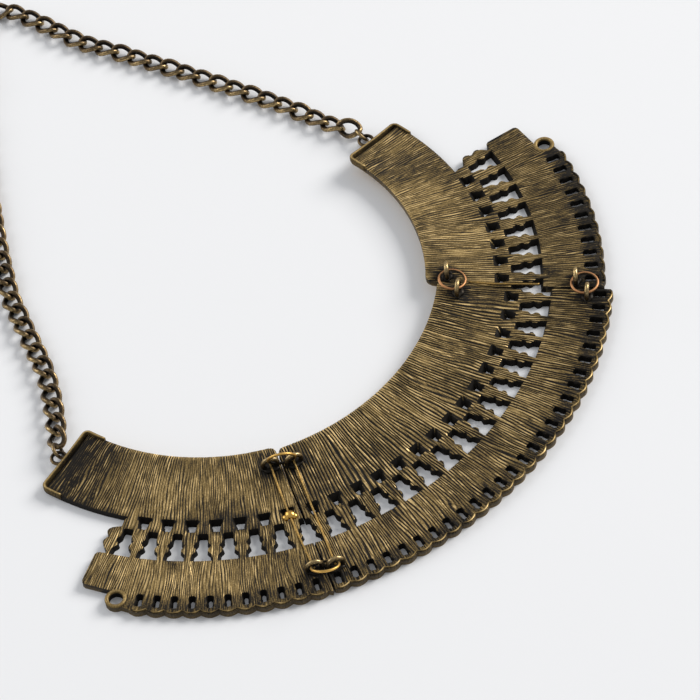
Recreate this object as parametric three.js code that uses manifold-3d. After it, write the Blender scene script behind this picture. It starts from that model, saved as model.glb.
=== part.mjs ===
// Bib necklace of three pierced cast plates on a curb chain, lying face down with its back up.
// Millimetres and degrees, +Z up. Z = 0 is the surface that the necklace lies on.
import * as THREE from 'three';
import { mergeGeometries, mergeVertices } from 'three/addons/utils/BufferGeometryUtils.js';
import Module from 'manifold-3d';

const wasm = await Module();
wasm.setup();

// The plates: a flat pierced part, and a band that rises towards the neck.
const plateThickness = 2;
const neckRise = 2.8;
const arcStep = 5.1;

// Sizes along the radius, counted from the neck outwards.
const smallRowDepth = 3.7;
const rowBridge = 0.45;
const centreSizes = { neck: 59.2, band: 16.8, bell: 7.7, lowerBand: 10.25, rimRow: 3.45, rimBar: 1.6 };
const sideSizes = { neck: 53.7, band: 17.2, bell: 8.1, lowerBand: 10.3, rimRow: 3.6, rimBar: 1.7 };

// The rows of openings: how many there are, and how many degrees apart.
const centreSmallCount = 15;
const centreRimCount = 27;
const sideSmallCount = 7;
const sideRimCount = 11;
const centrePitch = 4.42;
const sidePitch = 4.63;
const sideRimPitch = 2.57;
const centreRimMargin = 2;
const sideRimMargin = 3.1;
const lobeNotchDepth = 0.7;
const notchReach = 0.4;
const notchClear = 0.02;

// Half widths of each opening, with the place down its depth as a share.
const smallOpening = [
  { down: 0, half: 1.45 }, { down: 0.3, half: 1.35 }, { down: 1, half: 0.88 },
];
const bellOpening = [
  { down: 0, half: 1.3 }, { down: 0.3, half: 1.35 }, { down: 0.42, half: 2.1 }, { down: 0.6, half: 1.5 },
  { down: 1, half: 2.65 },
];
const rimOpening = [{ down: 0, half: 0.85 }, { down: 1, half: 1 }];

// Where the side plates lie, as the centres of their arcs on the right-hand side.
const jointGap = 0.5;
const leftArcCentre = new THREE.Vector2(0.4, -5.3);
const rightArcCentre = new THREE.Vector2(-0.5, -3.3);

// The free ends of the side plates.
const armEndAngle = 88.2;
const bandEndPastRow = 4;
const armPastRows = 0.7;
const tailStub = 2;
// The last bar's knobbed side: its place down the bell row and how far out it stands.
const tailBar = [
  { down: 0, out: 3.3 }, { down: 0.12, out: 4.8 }, { down: 0.26, out: 5 }, { down: 0.38, out: 4.2 },
  { down: 0.5, out: 5 }, { down: 0.68, out: 5 }, { down: 0.82, out: 4.2 }, { down: 0.92, out: 3.4 },
];
const eyeletHoleRadius = 1.35;
const eyeletWall = 1.05;
const eyeletPastRow = 0.6;
const eyeletOut = 0.4;

// The lip round each arm's end, the channel inside it, and the cast ring for the chain.
const lipWidth = 1.1;
const lipHeight = 0.5;
const lipSinkDepth = 1.2;
const lipOverhang = 0.35;
const lipReach = 5.6;
const channelWidth = 1.1;
const channelDepth = 0.5;
const castRingRadius = 1.8;
const castRingWire = 0.45;
const castRingDrop = 0.9;

// Corner rounding.
const neckCorner = 1.4;
const smallCorner = 0.8;

// The soldered eyes, the wires between them and the jump rings.
const eyeRadius = 1.8;
const eyeWire = 0.42;
const eyeLift = 1.35;
const innerEyePlace = 5.4;
const outerEyePlace = 37.6;
const innerEyeSpread = 2.85;
const outerEyeSpread = 2.5;
const legWire = 0.32;
const legSink = 0.08;
const solderRadius = 1.35;
const jumpRingRadius = 3.3;
const jumpRingWire = 0.35;
const jumpRingSlack = 0.23;

// The chain: link sizes from centre line to centre line, and how far links press together.
const linkPitch = 4.9;
const linkHalfWidth = 1.85;
const linkWire = 0.55;
const linkPress = 0.24;
const linkTwist = 45;
const linkSides = 5;
const linkSteps = 10;
const endRingRadius = 1.9;
const endRingWire = 0.45;
const restClearance = 0.02;
const seatGap = 0.3;
const settleLength = 8;

// The clasp: a plain flat loop with an eye at its tail.
const claspLength = 12;
const claspWidth = 6;
const claspThickness = 1;
const claspWall = 1;
const claspEyeRadius = 1.8;
const claspCentre = new THREE.Vector2(26, 103.2);
const claspTurn = 45;

// The way that each chain takes, from its arm to the clasp, seen from above.
const leftRoute = [
  [-60.2, -2.4], [-55.6, 2.3], [-49.2, 9.3], [-43.5, 16.8], [-38.3, 25.9], [-33.7, 33.9], [-30.1, 40],
  [-24.2, 47.5], [-20.8, 51.8], [-12.4, 61.5], [-3, 72.2], [6.5, 82.5],
];
const rightRoute = [
  [63.3, 0], [62.3, 4.7], [61.3, 14.7], [60.4, 24.7], [58.9, 34.4], [57.3, 44], [54.1, 61.3],
  [51.2, 75.5], [49.2, 84.8], [48.8, 94.3], [48.3, 103.2], [46.6, 110.5], [40.6, 113.6],
];
// How far each end ring is rolled about the chain, so that it crosses the link beside it.
const startRoll = 58;
const claspRoll = 130;

const degrees = THREE.MathUtils.degToRad;
const inDegrees = THREE.MathUtils.radToDeg;
const cutReach = 12;

const castBrass = { color: 0x5a4526, roughness: 0.5, metalness: 0.85 };
const chainBrass = { color: 0x6a5230, roughness: 0.42, metalness: 0.9 };
const ringCopper = { color: 0x9a6a3a, roughness: 0.32, metalness: 0.95 };

// The radii at which each part of a plate starts, and the middle of its row of rim openings.
function plateRadii(sizes) {
  const smallRow = sizes.neck + sizes.band;
  const bellRow = smallRow + smallRowDepth + rowBridge;
  const lowerBand = bellRow + sizes.bell;
  const rimRow = lowerBand + sizes.lowerBand;
  const rimMid = rimRow + sizes.rimRow / 2;
  const rim = rimRow + sizes.rimRow + sizes.rimBar;
  return { neck: sizes.neck, smallRow, bellRow, lowerBand, rimRow, rimMid, rim };
}

const centreRadii = plateRadii(centreSizes);
const sideRadii = plateRadii(sideSizes);
const jointAngle = centrePitch * centreSmallCount / 2;
const armRadius = sideRadii.smallRow + armPastRows;

function polar(radius, angle) {
  return new THREE.Vector2(radius * Math.sin(degrees(angle)), -radius * Math.cos(degrees(angle)));
}

function arcAngle(length, radius) {
  return inDegrees(length / radius);
}

// How high the plate's back is: flat past the neck band, and rising in a shallow dish to the neck.
function backHeight(radius, radii) {
  const share = THREE.MathUtils.clamp((radii.smallRow - radius) / (radii.smallRow - radii.neck), 0, 1);
  return plateThickness + neckRise * share * (0.6 + 0.4 * share);
}

// The angle at which a side plate's own radius meets the joint line, which runs through the centre.
function sideJointAngle(radius, arcCentre) {
  const normal = polar(1, jointAngle + 90);
  const offset = jointGap / 2 - normal.dot(arcCentre);
  return jointAngle + inDegrees(Math.asin(offset / radius));
}

function centreJointAngle(radius) {
  return jointAngle - inDegrees(Math.asin(jointGap / 2 / radius));
}

function toSolid(geometry) {
  const plain = geometry.index ? geometry.toNonIndexed() : geometry.clone();
  plain.deleteAttribute('normal');
  plain.deleteAttribute('uv');
  const merged = mergeVertices(plain, 1e-4);
  const vertProperties = new Float32Array(merged.attributes.position.array);
  const triVerts = new Uint32Array(merged.index.array);
  return new wasm.Manifold(new wasm.Mesh({ numProp: 3, vertProperties, triVerts }));
}

function toGeometry(solid) {
  const mesh = solid.getMesh();
  const geometry = new THREE.BufferGeometry();
  geometry.setAttribute('position', new THREE.BufferAttribute(mesh.vertProperties, 3));
  geometry.setIndex(new THREE.BufferAttribute(mesh.triVerts, 1));
  geometry.computeVertexNormals();
  return geometry;
}

// The mirror image across X = 0, with its faces turned to point out again.
function mirrored(geometry) {
  const copy = geometry.clone();
  copy.scale(-1, 1, 1);
  const index = copy.index.array;
  for (let i = 0; i < index.length; i += 3) {
    [index[i], index[i + 1]] = [index[i + 1], index[i]];
  }
  copy.computeVertexNormals();
  return copy;
}

function addAll(solid, pieces) {
  return pieces.reduce((whole, piece) => whole.add(toSolid(piece)), solid);
}

// A slab between two angles, with a row of faces between each pair of radii, neck side first.
function polarSlab({ radii, startAngle, endAngle, steps, bottom, top }) {
  const geometry = new THREE.BoxGeometry(1, 1, 1, steps, radii.length - 1, 1);
  const position = geometry.attributes.position;
  for (let i = 0; i < position.count; i += 1) {
    const row = Math.round((0.5 - position.getY(i)) * (radii.length - 1));
    const radius = radii[row];
    const start = startAngle(radius);
    const angle = start + (endAngle(radius) - start) * (position.getX(i) + 0.5);
    const place = polar(radius, angle);
    const height = position.getZ(i) > 0 ? top(radius) : bottom(radius);
    position.setXYZ(i, place.x, place.y, height);
  }
  return geometry;
}

// A prism through the whole plate, over a closed outline of points.
function prism(points) {
  const shape = new THREE.Shape(points);
  const geometry = new THREE.ExtrudeGeometry(shape, { depth: 2 * cutReach, bevelEnabled: false, steps: 1 });
  geometry.translate(0, 0, -cutReach);
  return geometry;
}

// One opening of a row, symmetrical about the radius at its angle.
function openingCut(table, start, depth, angle) {
  const right = table.map((row) => new THREE.Vector2(row.half, -(start + row.down * depth)));
  const left = table.map((row) => new THREE.Vector2(-row.half, -(start + row.down * depth))).reverse();
  const origin = new THREE.Vector2();
  return prism([...right, ...left].map((point) => point.rotateAround(origin, degrees(angle))));
}

// The notch between two lobes of the rim, which leaves each lobe a round outer side.
function notchCut(rim, angle, lobeAngle) {
  const reach = notchReach * lobeAngle;
  const inner = [
    polar(rim + notchClear, angle - reach),
    polar(rim - lobeNotchDepth, angle),
    polar(rim + notchClear, angle + reach),
  ];
  const outer = [reach, -reach].map((turn) => polar(rim + 1, angle + turn));
  return prism([...inner, ...outer]);
}

// What rounds off a corner, given the directions of the two edges that leave it.
function cornerCut(corner, alongFirst, alongSecond, radius) {
  const outside = 0.6;
  const arc = [0, 1, 2, 3].map((step) => {
    const turn = degrees(-90 - step * 30);
    return [radius + radius * Math.cos(turn), radius + radius * Math.sin(turn)];
  });
  const local = [[-outside, -outside], [radius, -outside], ...arc, [-outside, radius]];
  return prism(local.map(([along, across]) => corner.clone()
    .addScaledVector(alongFirst, along).addScaledVector(alongSecond, across)));
}

// The four rows of cuts that a plate has: small, bell-shaped and rim openings, and rim notches.
function rowCuts(radii, smallAngles, bellAngles, rimAngles, rimPitch) {
  const small = smallAngles.map((angle) => openingCut(smallOpening, radii.smallRow, smallRowDepth, angle));
  const bellDepth = radii.lowerBand - radii.bellRow;
  const rimDepth = 2 * (radii.rimMid - radii.rimRow);
  const bell = bellAngles.map((angle) => openingCut(bellOpening, radii.bellRow, bellDepth, angle));
  const rim = rimAngles.map((angle) => openingCut(rimOpening, radii.rimRow, rimDepth, angle));
  const notchAngles = [rimAngles[0] - rimPitch / 2, ...rimAngles.map((angle) => angle + rimPitch / 2)];
  const notches = notchAngles.map((angle) => notchCut(radii.rim, angle, rimPitch));
  return [...small, ...bell, ...rim, ...notches];
}

function evenAngles(first, pitch, count) {
  return Array.from({ length: count }, (_, step) => first + step * pitch);
}

// The radii at which a plate's faces are divided.
function bandRadii(radii) {
  return [radii.neck, (radii.neck + radii.smallRow) / 2, radii.smallRow, radii.rim];
}

// A soldered eye that stands on the back, its hole facing along the radius.
function eye(place) {
  const geometry = new THREE.TorusGeometry(eyeRadius, eyeWire, 5, 10);
  geometry.rotateX(Math.PI / 2);
  geometry.rotateZ(degrees(place.angle));
  return geometry.translate(place.centre.x, place.centre.y, place.centre.z);
}

// Where an eye stands: its distance out from the neck edge and from the joint line.
function eyePlace(radii, out, angle) {
  const radius = radii.neck + out;
  const flat = polar(radius, angle);
  return { angle, radius, centre: new THREE.Vector3(flat.x, flat.y, backHeight(radius, radii) + eyeLift) };
}

// A thin straight wire soldered along the back, following its height.
function leg(from, to, radii) {
  const stops = [0, 0.2, 0.4, 1].map((share) => {
    const radius = THREE.MathUtils.lerp(from.radius, to.radius, share);
    const flat = polar(radius, THREE.MathUtils.lerp(from.angle, to.angle, share));
    return new THREE.Vector3(flat.x, flat.y, backHeight(radius, radii) + legWire - legSink);
  });
  const path = new THREE.CatmullRomCurve3(stops, false, 'centripetal');
  const section = new THREE.Shape(evenAngles(0, 72, 5).map((angle) => polar(legWire, angle)));
  return new THREE.ExtrudeGeometry(section, { extrudePath: path, steps: 5, bevelEnabled: false });
}

// The centre plate, both ends of it cut along the joint lines.
const centreEyes = [[innerEyePlace, innerEyeSpread], [outerEyePlace, outerEyeSpread]].map(([out, spread]) => {
  const radius = centreRadii.neck + out;
  return eyePlace(centreRadii, out, jointAngle - arcAngle(spread, radius));
});

function mirrorPlace(place) {
  const centre = new THREE.Vector3(-place.centre.x, place.centre.y, place.centre.z);
  return { ...place, angle: -place.angle, centre };
}

function centrePlate() {
  const radii = centreRadii;
  const lastRim = jointAngle - arcAngle(centreRimMargin, radii.rimMid);
  const rimPitch = 2 * lastRim / (centreRimCount - 1);
  const body = polarSlab({
    radii: bandRadii(radii),
    startAngle: (radius) => -centreJointAngle(radius),
    endAngle: centreJointAngle,
    steps: Math.round(2 * jointAngle / arcStep),
    bottom: (radius) => backHeight(radius, radii) - plateThickness,
    top: (radius) => backHeight(radius, radii),
  });
  const cuts = rowCuts(
    radii,
    evenAngles(-centrePitch * (centreSmallCount - 1) / 2, centrePitch, centreSmallCount),
    evenAngles(-jointAngle, centrePitch, centreSmallCount + 1),
    evenAngles(-lastRim, rimPitch, centreRimCount),
    rimPitch,
  );
  const corners = [-1, 1].flatMap((side) => {
    const inward = polar(1, jointAngle - 90);
    const outward = polar(1, jointAngle);
    const neck = polar(radii.neck, centreJointAngle(radii.neck));
    const rim = polar(radii.rim, centreJointAngle(radii.rim));
    const flip = (point) => new THREE.Vector2(side * point.x, point.y);
    return [
      cornerCut(flip(neck), flip(inward), flip(outward), neckCorner),
      cornerCut(flip(rim), flip(inward), flip(outward).negate(), smallCorner),
    ];
  });
  let solid = toSolid(body).subtract(toSolid(mergeGeometries(cuts)));
  corners.forEach((corner) => {
    solid = solid.subtract(toSolid(corner));
  });
  const leftEyes = centreEyes.map(mirrorPlace);
  const pieces = [...centreEyes, ...leftEyes].map(eye);
  pieces.push(leg(leftEyes[0], leftEyes[1], radii));
  return toGeometry(addAll(solid, pieces));
}

// The eyes of a side plate, on the right-hand side and about the plate's own arc centre.
function sideEyes(arcCentre) {
  return [[innerEyePlace, innerEyeSpread], [outerEyePlace, outerEyeSpread]].map(([out, spread]) => {
    const radius = sideRadii.neck + out;
    return eyePlace(sideRadii, out, sideJointAngle(radius, arcCentre) + arcAngle(spread - jointGap / 2, radius));
  });
}

// Everything past the free end of a side plate's rows and lower band.
function tailCut(radii, lastBell, lastRim) {
  const far = armEndAngle + 4;
  const along = (radius, from, to, steps) => evenAngles(from, (to - from) / steps, steps + 1)
    .map((angle) => polar(radius, angle));
  const bar = tailBar.map((row) => {
    const radius = THREE.MathUtils.lerp(radii.bellRow, radii.lowerBand, row.down);
    return polar(radius, lastBell + arcAngle(row.out, radius));
  });
  const bandEnd = lastBell + bandEndPastRow;
  const eyeletRadius = radii.rimMid + eyeletOut;
  const eyeletAngle = lastRim + sideRimPitch + arcAngle(eyeletPastRow, eyeletRadius);
  const eyelet = polar(eyeletRadius, eyeletAngle);
  const eyeletOuter = eyeletHoleRadius + eyeletWall;
  const ring = [-50, -25, 0, 25, 50, 75, 90].map((turn) => {
    const across = polar(1, eyeletAngle + 90).multiplyScalar(eyeletOuter * Math.cos(degrees(turn)));
    const outward = polar(1, eyeletAngle).multiplyScalar(eyeletOuter * Math.sin(degrees(turn)));
    return eyelet.clone().add(across).add(outward);
  });
  const outline = [
    ...along(armRadius, far, lastBell + arcAngle(tailStub, armRadius) - 0.5, 10),
    polar(armRadius + 1.2, lastBell + arcAngle(tailStub, armRadius)),
    polar(radii.bellRow - rowBridge, lastBell + arcAngle(tailStub, radii.bellRow)),
    ...bar,
    polar(radii.lowerBand, lastBell + arcAngle(tailBar.at(-1).out, radii.lowerBand)),
    polar(radii.lowerBand, bandEnd - arcAngle(smallCorner, radii.lowerBand)),
    polar(radii.lowerBand + smallCorner, bandEnd),
    polar(radii.rimRow - smallCorner - 0.3, bandEnd),
    polar(radii.rimRow - 0.3, bandEnd - arcAngle(smallCorner, radii.rimRow)),
    ...ring,
    polar(radii.rim + 3, eyeletAngle),
    ...along(radii.rim + 8, lastBell, far, 3),
  ];
  const hole = evenAngles(0, 30, 12).map((turn) => eyelet.clone()
    .add(polar(eyeletHoleRadius, turn)));
  return [prism(outline), prism(hole)];
}

// The lip that wraps an arm's end, as three slabs over the same height as the back.
function armLip(radii) {
  const top = (radius) => backHeight(radius, radii) + lipHeight;
  const bottom = (radius) => backHeight(radius, radii) - lipSinkDepth;
  const slab = (inner, outer, start, end, steps) => {
    const parts = outer - inner > lipReach ? 2 : 1;
    const stops = evenAngles(inner, (outer - inner) / parts, parts + 1);
    return polarSlab({ radii: stops, startAngle: start, endAngle: end, steps, bottom, top });
  };
  const end = (radius) => armEndAngle + arcAngle(lipOverhang, radius);
  const wallStart = (radius) => end(radius) - arcAngle(lipWidth, radius);
  const sideStart = (radius) => end(radius) - arcAngle(lipReach, radius);
  const neckSide = radii.neck - lipOverhang;
  const rowSide = armRadius + lipOverhang;
  return [
    slab(neckSide, rowSide, wallStart, end, 1),
    slab(neckSide, neckSide + lipWidth, sideStart, end, 1),
    slab(rowSide - lipWidth, rowSide, sideStart, end, 1),
  ];
}

function armChannel(radii) {
  const end = (radius) => armEndAngle + arcAngle(lipOverhang - lipWidth + 0.1, radius);
  const inner = radii.neck - lipOverhang + lipWidth;
  const outer = armRadius + lipOverhang - lipWidth;
  return polarSlab({
    radii: [inner, (inner + outer) / 2, outer],
    startAngle: (radius) => end(radius) - arcAngle(channelWidth, radius),
    endAngle: end,
    steps: 1,
    bottom: (radius) => backHeight(radius, radii) - channelDepth,
    top: (radius) => backHeight(radius, radii) + cutReach,
  });
}

// The hole of the cast ring at an arm's end, where the chain starts.
function castRingCentre(radii) {
  const radius = (radii.neck + armRadius) / 2;
  const out = lipOverhang + castRingRadius - castRingWire / 2;
  const flat = polar(radius, armEndAngle + arcAngle(out, radius));
  return new THREE.Vector3(flat.x, flat.y, backHeight(radius, radii) - castRingDrop);
}

// A side plate on the right-hand side, about its own arc centre.
function sidePlate(arcCentre, extras) {
  const radii = sideRadii;
  const rowStart = sideJointAngle(radii.bellRow, arcCentre);
  const smallAngles = evenAngles(rowStart + sidePitch / 2, sidePitch, sideSmallCount);
  const bellAngles = evenAngles(rowStart, sidePitch, sideSmallCount + 1);
  const firstRim = sideJointAngle(radii.rimMid, arcCentre) + arcAngle(sideRimMargin, radii.rimMid);
  const rimAngles = evenAngles(firstRim, sideRimPitch, sideRimCount);
  const startAngle = (radius) => sideJointAngle(radius, arcCentre);
  const body = polarSlab({
    radii: bandRadii(radii),
    startAngle,
    endAngle: () => armEndAngle,
    steps: Math.round((armEndAngle - rowStart) / arcStep),
    bottom: (radius) => backHeight(radius, radii) - plateThickness,
    top: (radius) => backHeight(radius, radii),
  });
  const cuts = rowCuts(radii, smallAngles, bellAngles, rimAngles, sideRimPitch);
  const joint = { along: polar(1, jointAngle), away: polar(1, jointAngle + 90) };
  const neckAtJoint = polar(radii.neck, startAngle(radii.neck));
  const rimAtJoint = polar(radii.rim, startAngle(radii.rim));
  const corners = [
    cornerCut(neckAtJoint, joint.away, joint.along, neckCorner),
    cornerCut(rimAtJoint, joint.away, joint.along.clone().negate(), smallCorner),
  ];
  const lastBell = bellAngles.at(-1);
  let solid = toSolid(body).subtract(toSolid(mergeGeometries(cuts)));
  [...corners, ...tailCut(radii, lastBell, rimAngles.at(-1)), armChannel(radii)].forEach((cut) => {
    solid = solid.subtract(toSolid(cut));
  });
  solid = addAll(solid, armLip(radii));
  const lipEnd = (radius) => armEndAngle + arcAngle(lipOverhang, radius);
  const lipCorners = [[radii.neck - lipOverhang, 1], [armRadius + lipOverhang, -1]];
  lipCorners.forEach(([radius, side]) => {
    const back = polar(1, lipEnd(radius) - 90);
    const along = polar(side, lipEnd(radius));
    solid = solid.subtract(toSolid(cornerCut(polar(radius, lipEnd(radius)), back, along, smallCorner)));
  });
  const castRing = new THREE.TorusGeometry(castRingRadius, castRingWire, 5, 10);
  const ringCentre = castRingCentre(radii);
  castRing.translate(ringCentre.x, ringCentre.y, ringCentre.z);
  const pieces = [castRing, ...sideEyes(arcCentre).map(eye), ...extras];
  return toGeometry(addAll(solid, pieces));
}

// The left plate's wire runs from eye to eye, with a drop of solder over its first small opening.
function leftExtras(arcCentre) {
  const [inner, outer] = sideEyes(arcCentre);
  const radius = sideRadii.smallRow + 0.7 * smallRowDepth;
  const share = (radius - inner.radius) / (outer.radius - inner.radius);
  const flat = polar(radius, THREE.MathUtils.lerp(inner.angle, outer.angle, share));
  const drop = new THREE.SphereGeometry(solderRadius, 7, 5);
  drop.scale(1, 1.15, 0.75);
  drop.translate(flat.x, flat.y, plateThickness);
  return [leg(inner, outer, sideRadii), drop];
}

// The right plate's wire is short and lies close to the joint.
function rightExtras(arcCentre) {
  const edge = (radius) => ({
    radius,
    angle: sideJointAngle(radius, arcCentre) + arcAngle(2.5 * legWire, radius),
  });
  return [leg(edge(sideRadii.neck + 2 * innerEyePlace), edge(sideRadii.lowerBand - 1), sideRadii)];
}

// A jump ring through two eyes. Lean 0 is level; a positive lean lifts its outer side.
function jumpRing(first, second, lean, drop, side) {
  const half = second.clone().sub(first).multiplyScalar(0.5);
  const middle = first.clone().add(half);
  middle.z -= drop;
  const chord = half.clone().normalize();
  const level = new THREE.Vector3(-chord.y, chord.x, 0).normalize().multiplyScalar(side);
  const rise = new THREE.Vector3(0, 0, 1);
  const outward = level.multiplyScalar(Math.cos(degrees(lean))).addScaledVector(rise, Math.sin(degrees(lean)));
  const reach = jumpRingRadius - jumpRingSlack;
  const shift = Math.sqrt(Math.max(0, reach ** 2 - half.lengthSq()));
  const centre = middle.addScaledVector(outward, shift);
  const geometry = new THREE.TorusGeometry(jumpRingRadius, jumpRingWire, 5, 11);
  const normal = chord.clone().cross(outward);
  geometry.applyMatrix4(new THREE.Matrix4().makeBasis(chord, outward, normal));
  return geometry.translate(centre.x, centre.y, centre.z);
}

// How far a wire's flat inner side and its end lie from the middle, on a ring of straight steps.
function innerFlat(wire) {
  return wire * Math.cos(Math.PI / linkSides);
}

function stepReach(radius) {
  return radius * Math.cos(Math.PI / linkSteps);
}

const linkReach = linkPitch / 2 + innerFlat(linkWire) - linkPress / 2;
const linkHalfLength = linkReach / stepReach(1);
const linkShape = curbLink();
linkShape.computeBoundingBox();
const linkLift = linkShape.boundingBox.max.z + restClearance;

// One curb link along X: a wire bent to an oval, then twisted about its length.
function curbLink() {
  const geometry = new THREE.TorusGeometry(1, linkWire, linkSides, linkSteps);
  const position = geometry.attributes.position;
  const uv = geometry.attributes.uv;
  for (let i = 0; i < position.count; i += 1) {
    const turn = 2 * Math.PI * (uv.getX(i) + 0.5 / linkSteps);
    const around = 2 * Math.PI * uv.getY(i);
    const centre = new THREE.Vector2(linkHalfLength * Math.cos(turn), linkHalfWidth * Math.sin(turn));
    const outward = new THREE.Vector2(centre.x / linkHalfLength ** 2, centre.y / linkHalfWidth ** 2);
    const flat = centre.addScaledVector(outward.normalize(), linkWire * Math.cos(around));
    const place = new THREE.Vector3(flat.x, flat.y, linkWire * Math.sin(around));
    place.applyAxisAngle(new THREE.Vector3(1, 0, 0), degrees(linkTwist) * Math.cos(turn));
    position.setXYZ(i, place.x, place.y, place.z);
  }
  return geometry;
}

function endRing() {
  return new THREE.TorusGeometry(endRingRadius, endRingWire, linkSides, linkSteps)
    .rotateZ(Math.PI / linkSteps);
}

// Puts a shape that lies along X at a place, along a direction, rolled about that direction.
function placeAlong(shape, place, direction, roll) {
  const across = new THREE.Vector3(0, 0, 1).cross(direction).normalize();
  const up = direction.clone().cross(across);
  const turned = new THREE.Matrix4().makeBasis(direction, across, up)
    .multiply(new THREE.Matrix4().makeRotationX(degrees(roll)));
  return shape.clone().applyMatrix4(turned).translate(place.x, place.y, place.z);
}

// The height at which a rolled end ring rests.
function ringLift(roll) {
  return Math.sin(degrees(roll)) * endRingRadius + endRingWire + restClearance;
}

// A chain from a cast ring's hole to its end of the clasp: a ring at each end and links between.
function chain(start, route, claspPlace, claspDirection) {
  const points = [[start.x, start.y], ...route, [claspPlace.x, claspPlace.y]];
  const curve = new THREE.CatmullRomCurve3(
    points.map(([x, y]) => new THREE.Vector3(x, y, linkLift)),
    false,
    'centripetal',
  );
  curve.arcLengthDivisions = 2000;
  const total = curve.getLength();
  const seat = stepReach(castRingRadius) - castRingWire - endRingWire - seatGap;
  const firstRing = seat + stepReach(endRingRadius);
  const hold = stepReach(endRingRadius) + linkReach + linkPress - innerFlat(linkWire) - innerFlat(endRingWire);
  const room = total - firstRing - 2 * hold;
  const count = Math.round(room / linkPitch) + 1;
  const pitch = room / (count - 1);
  const at = (length) => {
    const place = curve.getPointAt(length / total);
    const direction = curve.getTangentAt(length / total);
    const raised = (start.z - linkLift) * Math.exp(-length / settleLength);
    place.z += raised;
    direction.z = -raised / settleLength;
    return { place, direction: direction.normalize() };
  };
  const first = at(firstRing);
  first.place.z = Math.max(first.place.z, ringLift(startRoll));
  const shapes = [placeAlong(endRing(), first.place, first.direction, startRoll)];
  for (let step = 0; step < count; step += 1) {
    const spot = at(firstRing + hold + step * pitch);
    shapes.push(placeAlong(linkShape, spot.place, spot.direction, 0));
  }
  shapes.push(placeAlong(endRing(), claspPlace, claspDirection, claspRoll));
  return toGeometry(shapes.map(toSolid).reduce((sum, solid) => sum.add(solid)));
}

const collar = new THREE.Group();
const necklace = new THREE.Group();
necklace.add(collar);

function addPiece(name, geometry, look) {
  const mesh = new THREE.Mesh(geometry, new THREE.MeshStandardMaterial(look));
  mesh.name = name;
  collar.add(mesh);
  return mesh;
}

function shifted(geometry, arcCentre) {
  return geometry.translate(arcCentre.x, arcCentre.y, 0);
}

addPiece('centre_plate', centrePlate(), castBrass);
const leftShape = shifted(sidePlate(leftArcCentre, leftExtras(leftArcCentre)), leftArcCentre);
addPiece('left_plate', mirrored(leftShape), castBrass);
const rightShape = shifted(sidePlate(rightArcCentre, rightExtras(rightArcCentre)), rightArcCentre);
addPiece('right_plate', rightShape, castBrass);

// The jump rings, two at each joint.
const ringLean = { left: { inner: 20, outer: 20 }, right: { inner: -8, outer: 0 } };
const ringDrop = { left: -0.5, right: 0.1 };
['left', 'right'].forEach((side) => {
  const arcCentre = side === 'left' ? leftArcCentre : rightArcCentre;
  const sign = side === 'left' ? -1 : 1;
  const ends = sideEyes(arcCentre);
  ['inner', 'outer'].forEach((row, step) => {
    const first = centreEyes[step].centre.clone();
    const second = ends[step].centre.clone().add(new THREE.Vector3(arcCentre.x, arcCentre.y, 0));
    first.x *= sign;
    second.x *= sign;
    const geometry = jumpRing(first, second, ringLean[side][row], ringDrop[side], -sign);
    addPiece(`jump_ring_${side}_${row}`, geometry, ringCopper);
  });
});

// A flat loop along X: a round eye for one chain's ring, and a long hole for the other's.
function clasp() {
  const half = claspWidth / 2;
  const inner = half - claspWall;
  const eyeOuter = claspEyeRadius + claspWall;
  const eyeX = eyeOuter - claspLength / 2;
  const endX = claspLength / 2 - half;
  const holeX = eyeX + eyeOuter + inner;
  const shape = new THREE.Shape();
  shape.absarc(eyeX, 0, eyeOuter, degrees(50), degrees(310), false);
  shape.lineTo(holeX, -half);
  shape.absarc(endX, 0, half, degrees(-90), degrees(90), false);
  shape.lineTo(holeX, half);
  shape.closePath();
  const eyeHole = new THREE.Path().absarc(eyeX, 0, claspEyeRadius, 0, 2 * Math.PI, true);
  const longHole = new THREE.Path();
  longHole.absarc(endX, 0, inner, degrees(90), degrees(-90), true);
  longHole.absarc(holeX, 0, inner, degrees(270), degrees(90), true);
  shape.holes.push(eyeHole, longHole);
  const options = { depth: claspThickness, bevelEnabled: false, curveSegments: 6 };
  return new THREE.ExtrudeGeometry(shape, options).translate(0, 0, -claspThickness / 2);
}

// The chains, and the clasp between their end rings.
function chainStart(arcCentre, sign) {
  const centre = castRingCentre(sideRadii);
  return new THREE.Vector3(sign * (centre.x + arcCentre.x), centre.y + arcCentre.y, centre.z);
}

const claspAlong = new THREE.Vector3(Math.cos(degrees(claspTurn)), Math.sin(degrees(claspTurn)), 0);
const claspMiddle = new THREE.Vector3(claspCentre.x, claspCentre.y, ringLift(claspRoll));
const ringSpan = (claspLength - claspWall) / 2;
const leftClaspEnd = claspMiddle.clone().addScaledVector(claspAlong, -ringSpan);
const rightClaspEnd = claspMiddle.clone().addScaledVector(claspAlong, ringSpan);
const leftStart = chainStart(leftArcCentre, -1);
const rightStart = chainStart(rightArcCentre, 1);
addPiece('chain_left', chain(leftStart, leftRoute, leftClaspEnd, claspAlong), chainBrass);
addPiece('chain_right', chain(rightStart, rightRoute, rightClaspEnd, claspAlong.clone().negate()), chainBrass);
addPiece('clasp', placeAlong(clasp(), claspMiddle, claspAlong, 0), chainBrass);

// The origin is on the centre plate's front, under the middle of its lower band.
const originRadius = (centreRadii.lowerBand + centreRadii.rimRow) / 2;
collar.position.set(0, originRadius, 0);

export default necklace;
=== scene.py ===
"""A bib necklace of three pierced cast plates on a curb chain, lying face down on a pale table."""
import math
from collections import namedtuple

import bmesh
import bpy
import numpy as np
from bpy.props import FloatProperty, FloatVectorProperty, IntProperty, PointerProperty
from mathutils import Matrix, Vector
from mathutils.kdtree import KDTree


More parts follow.
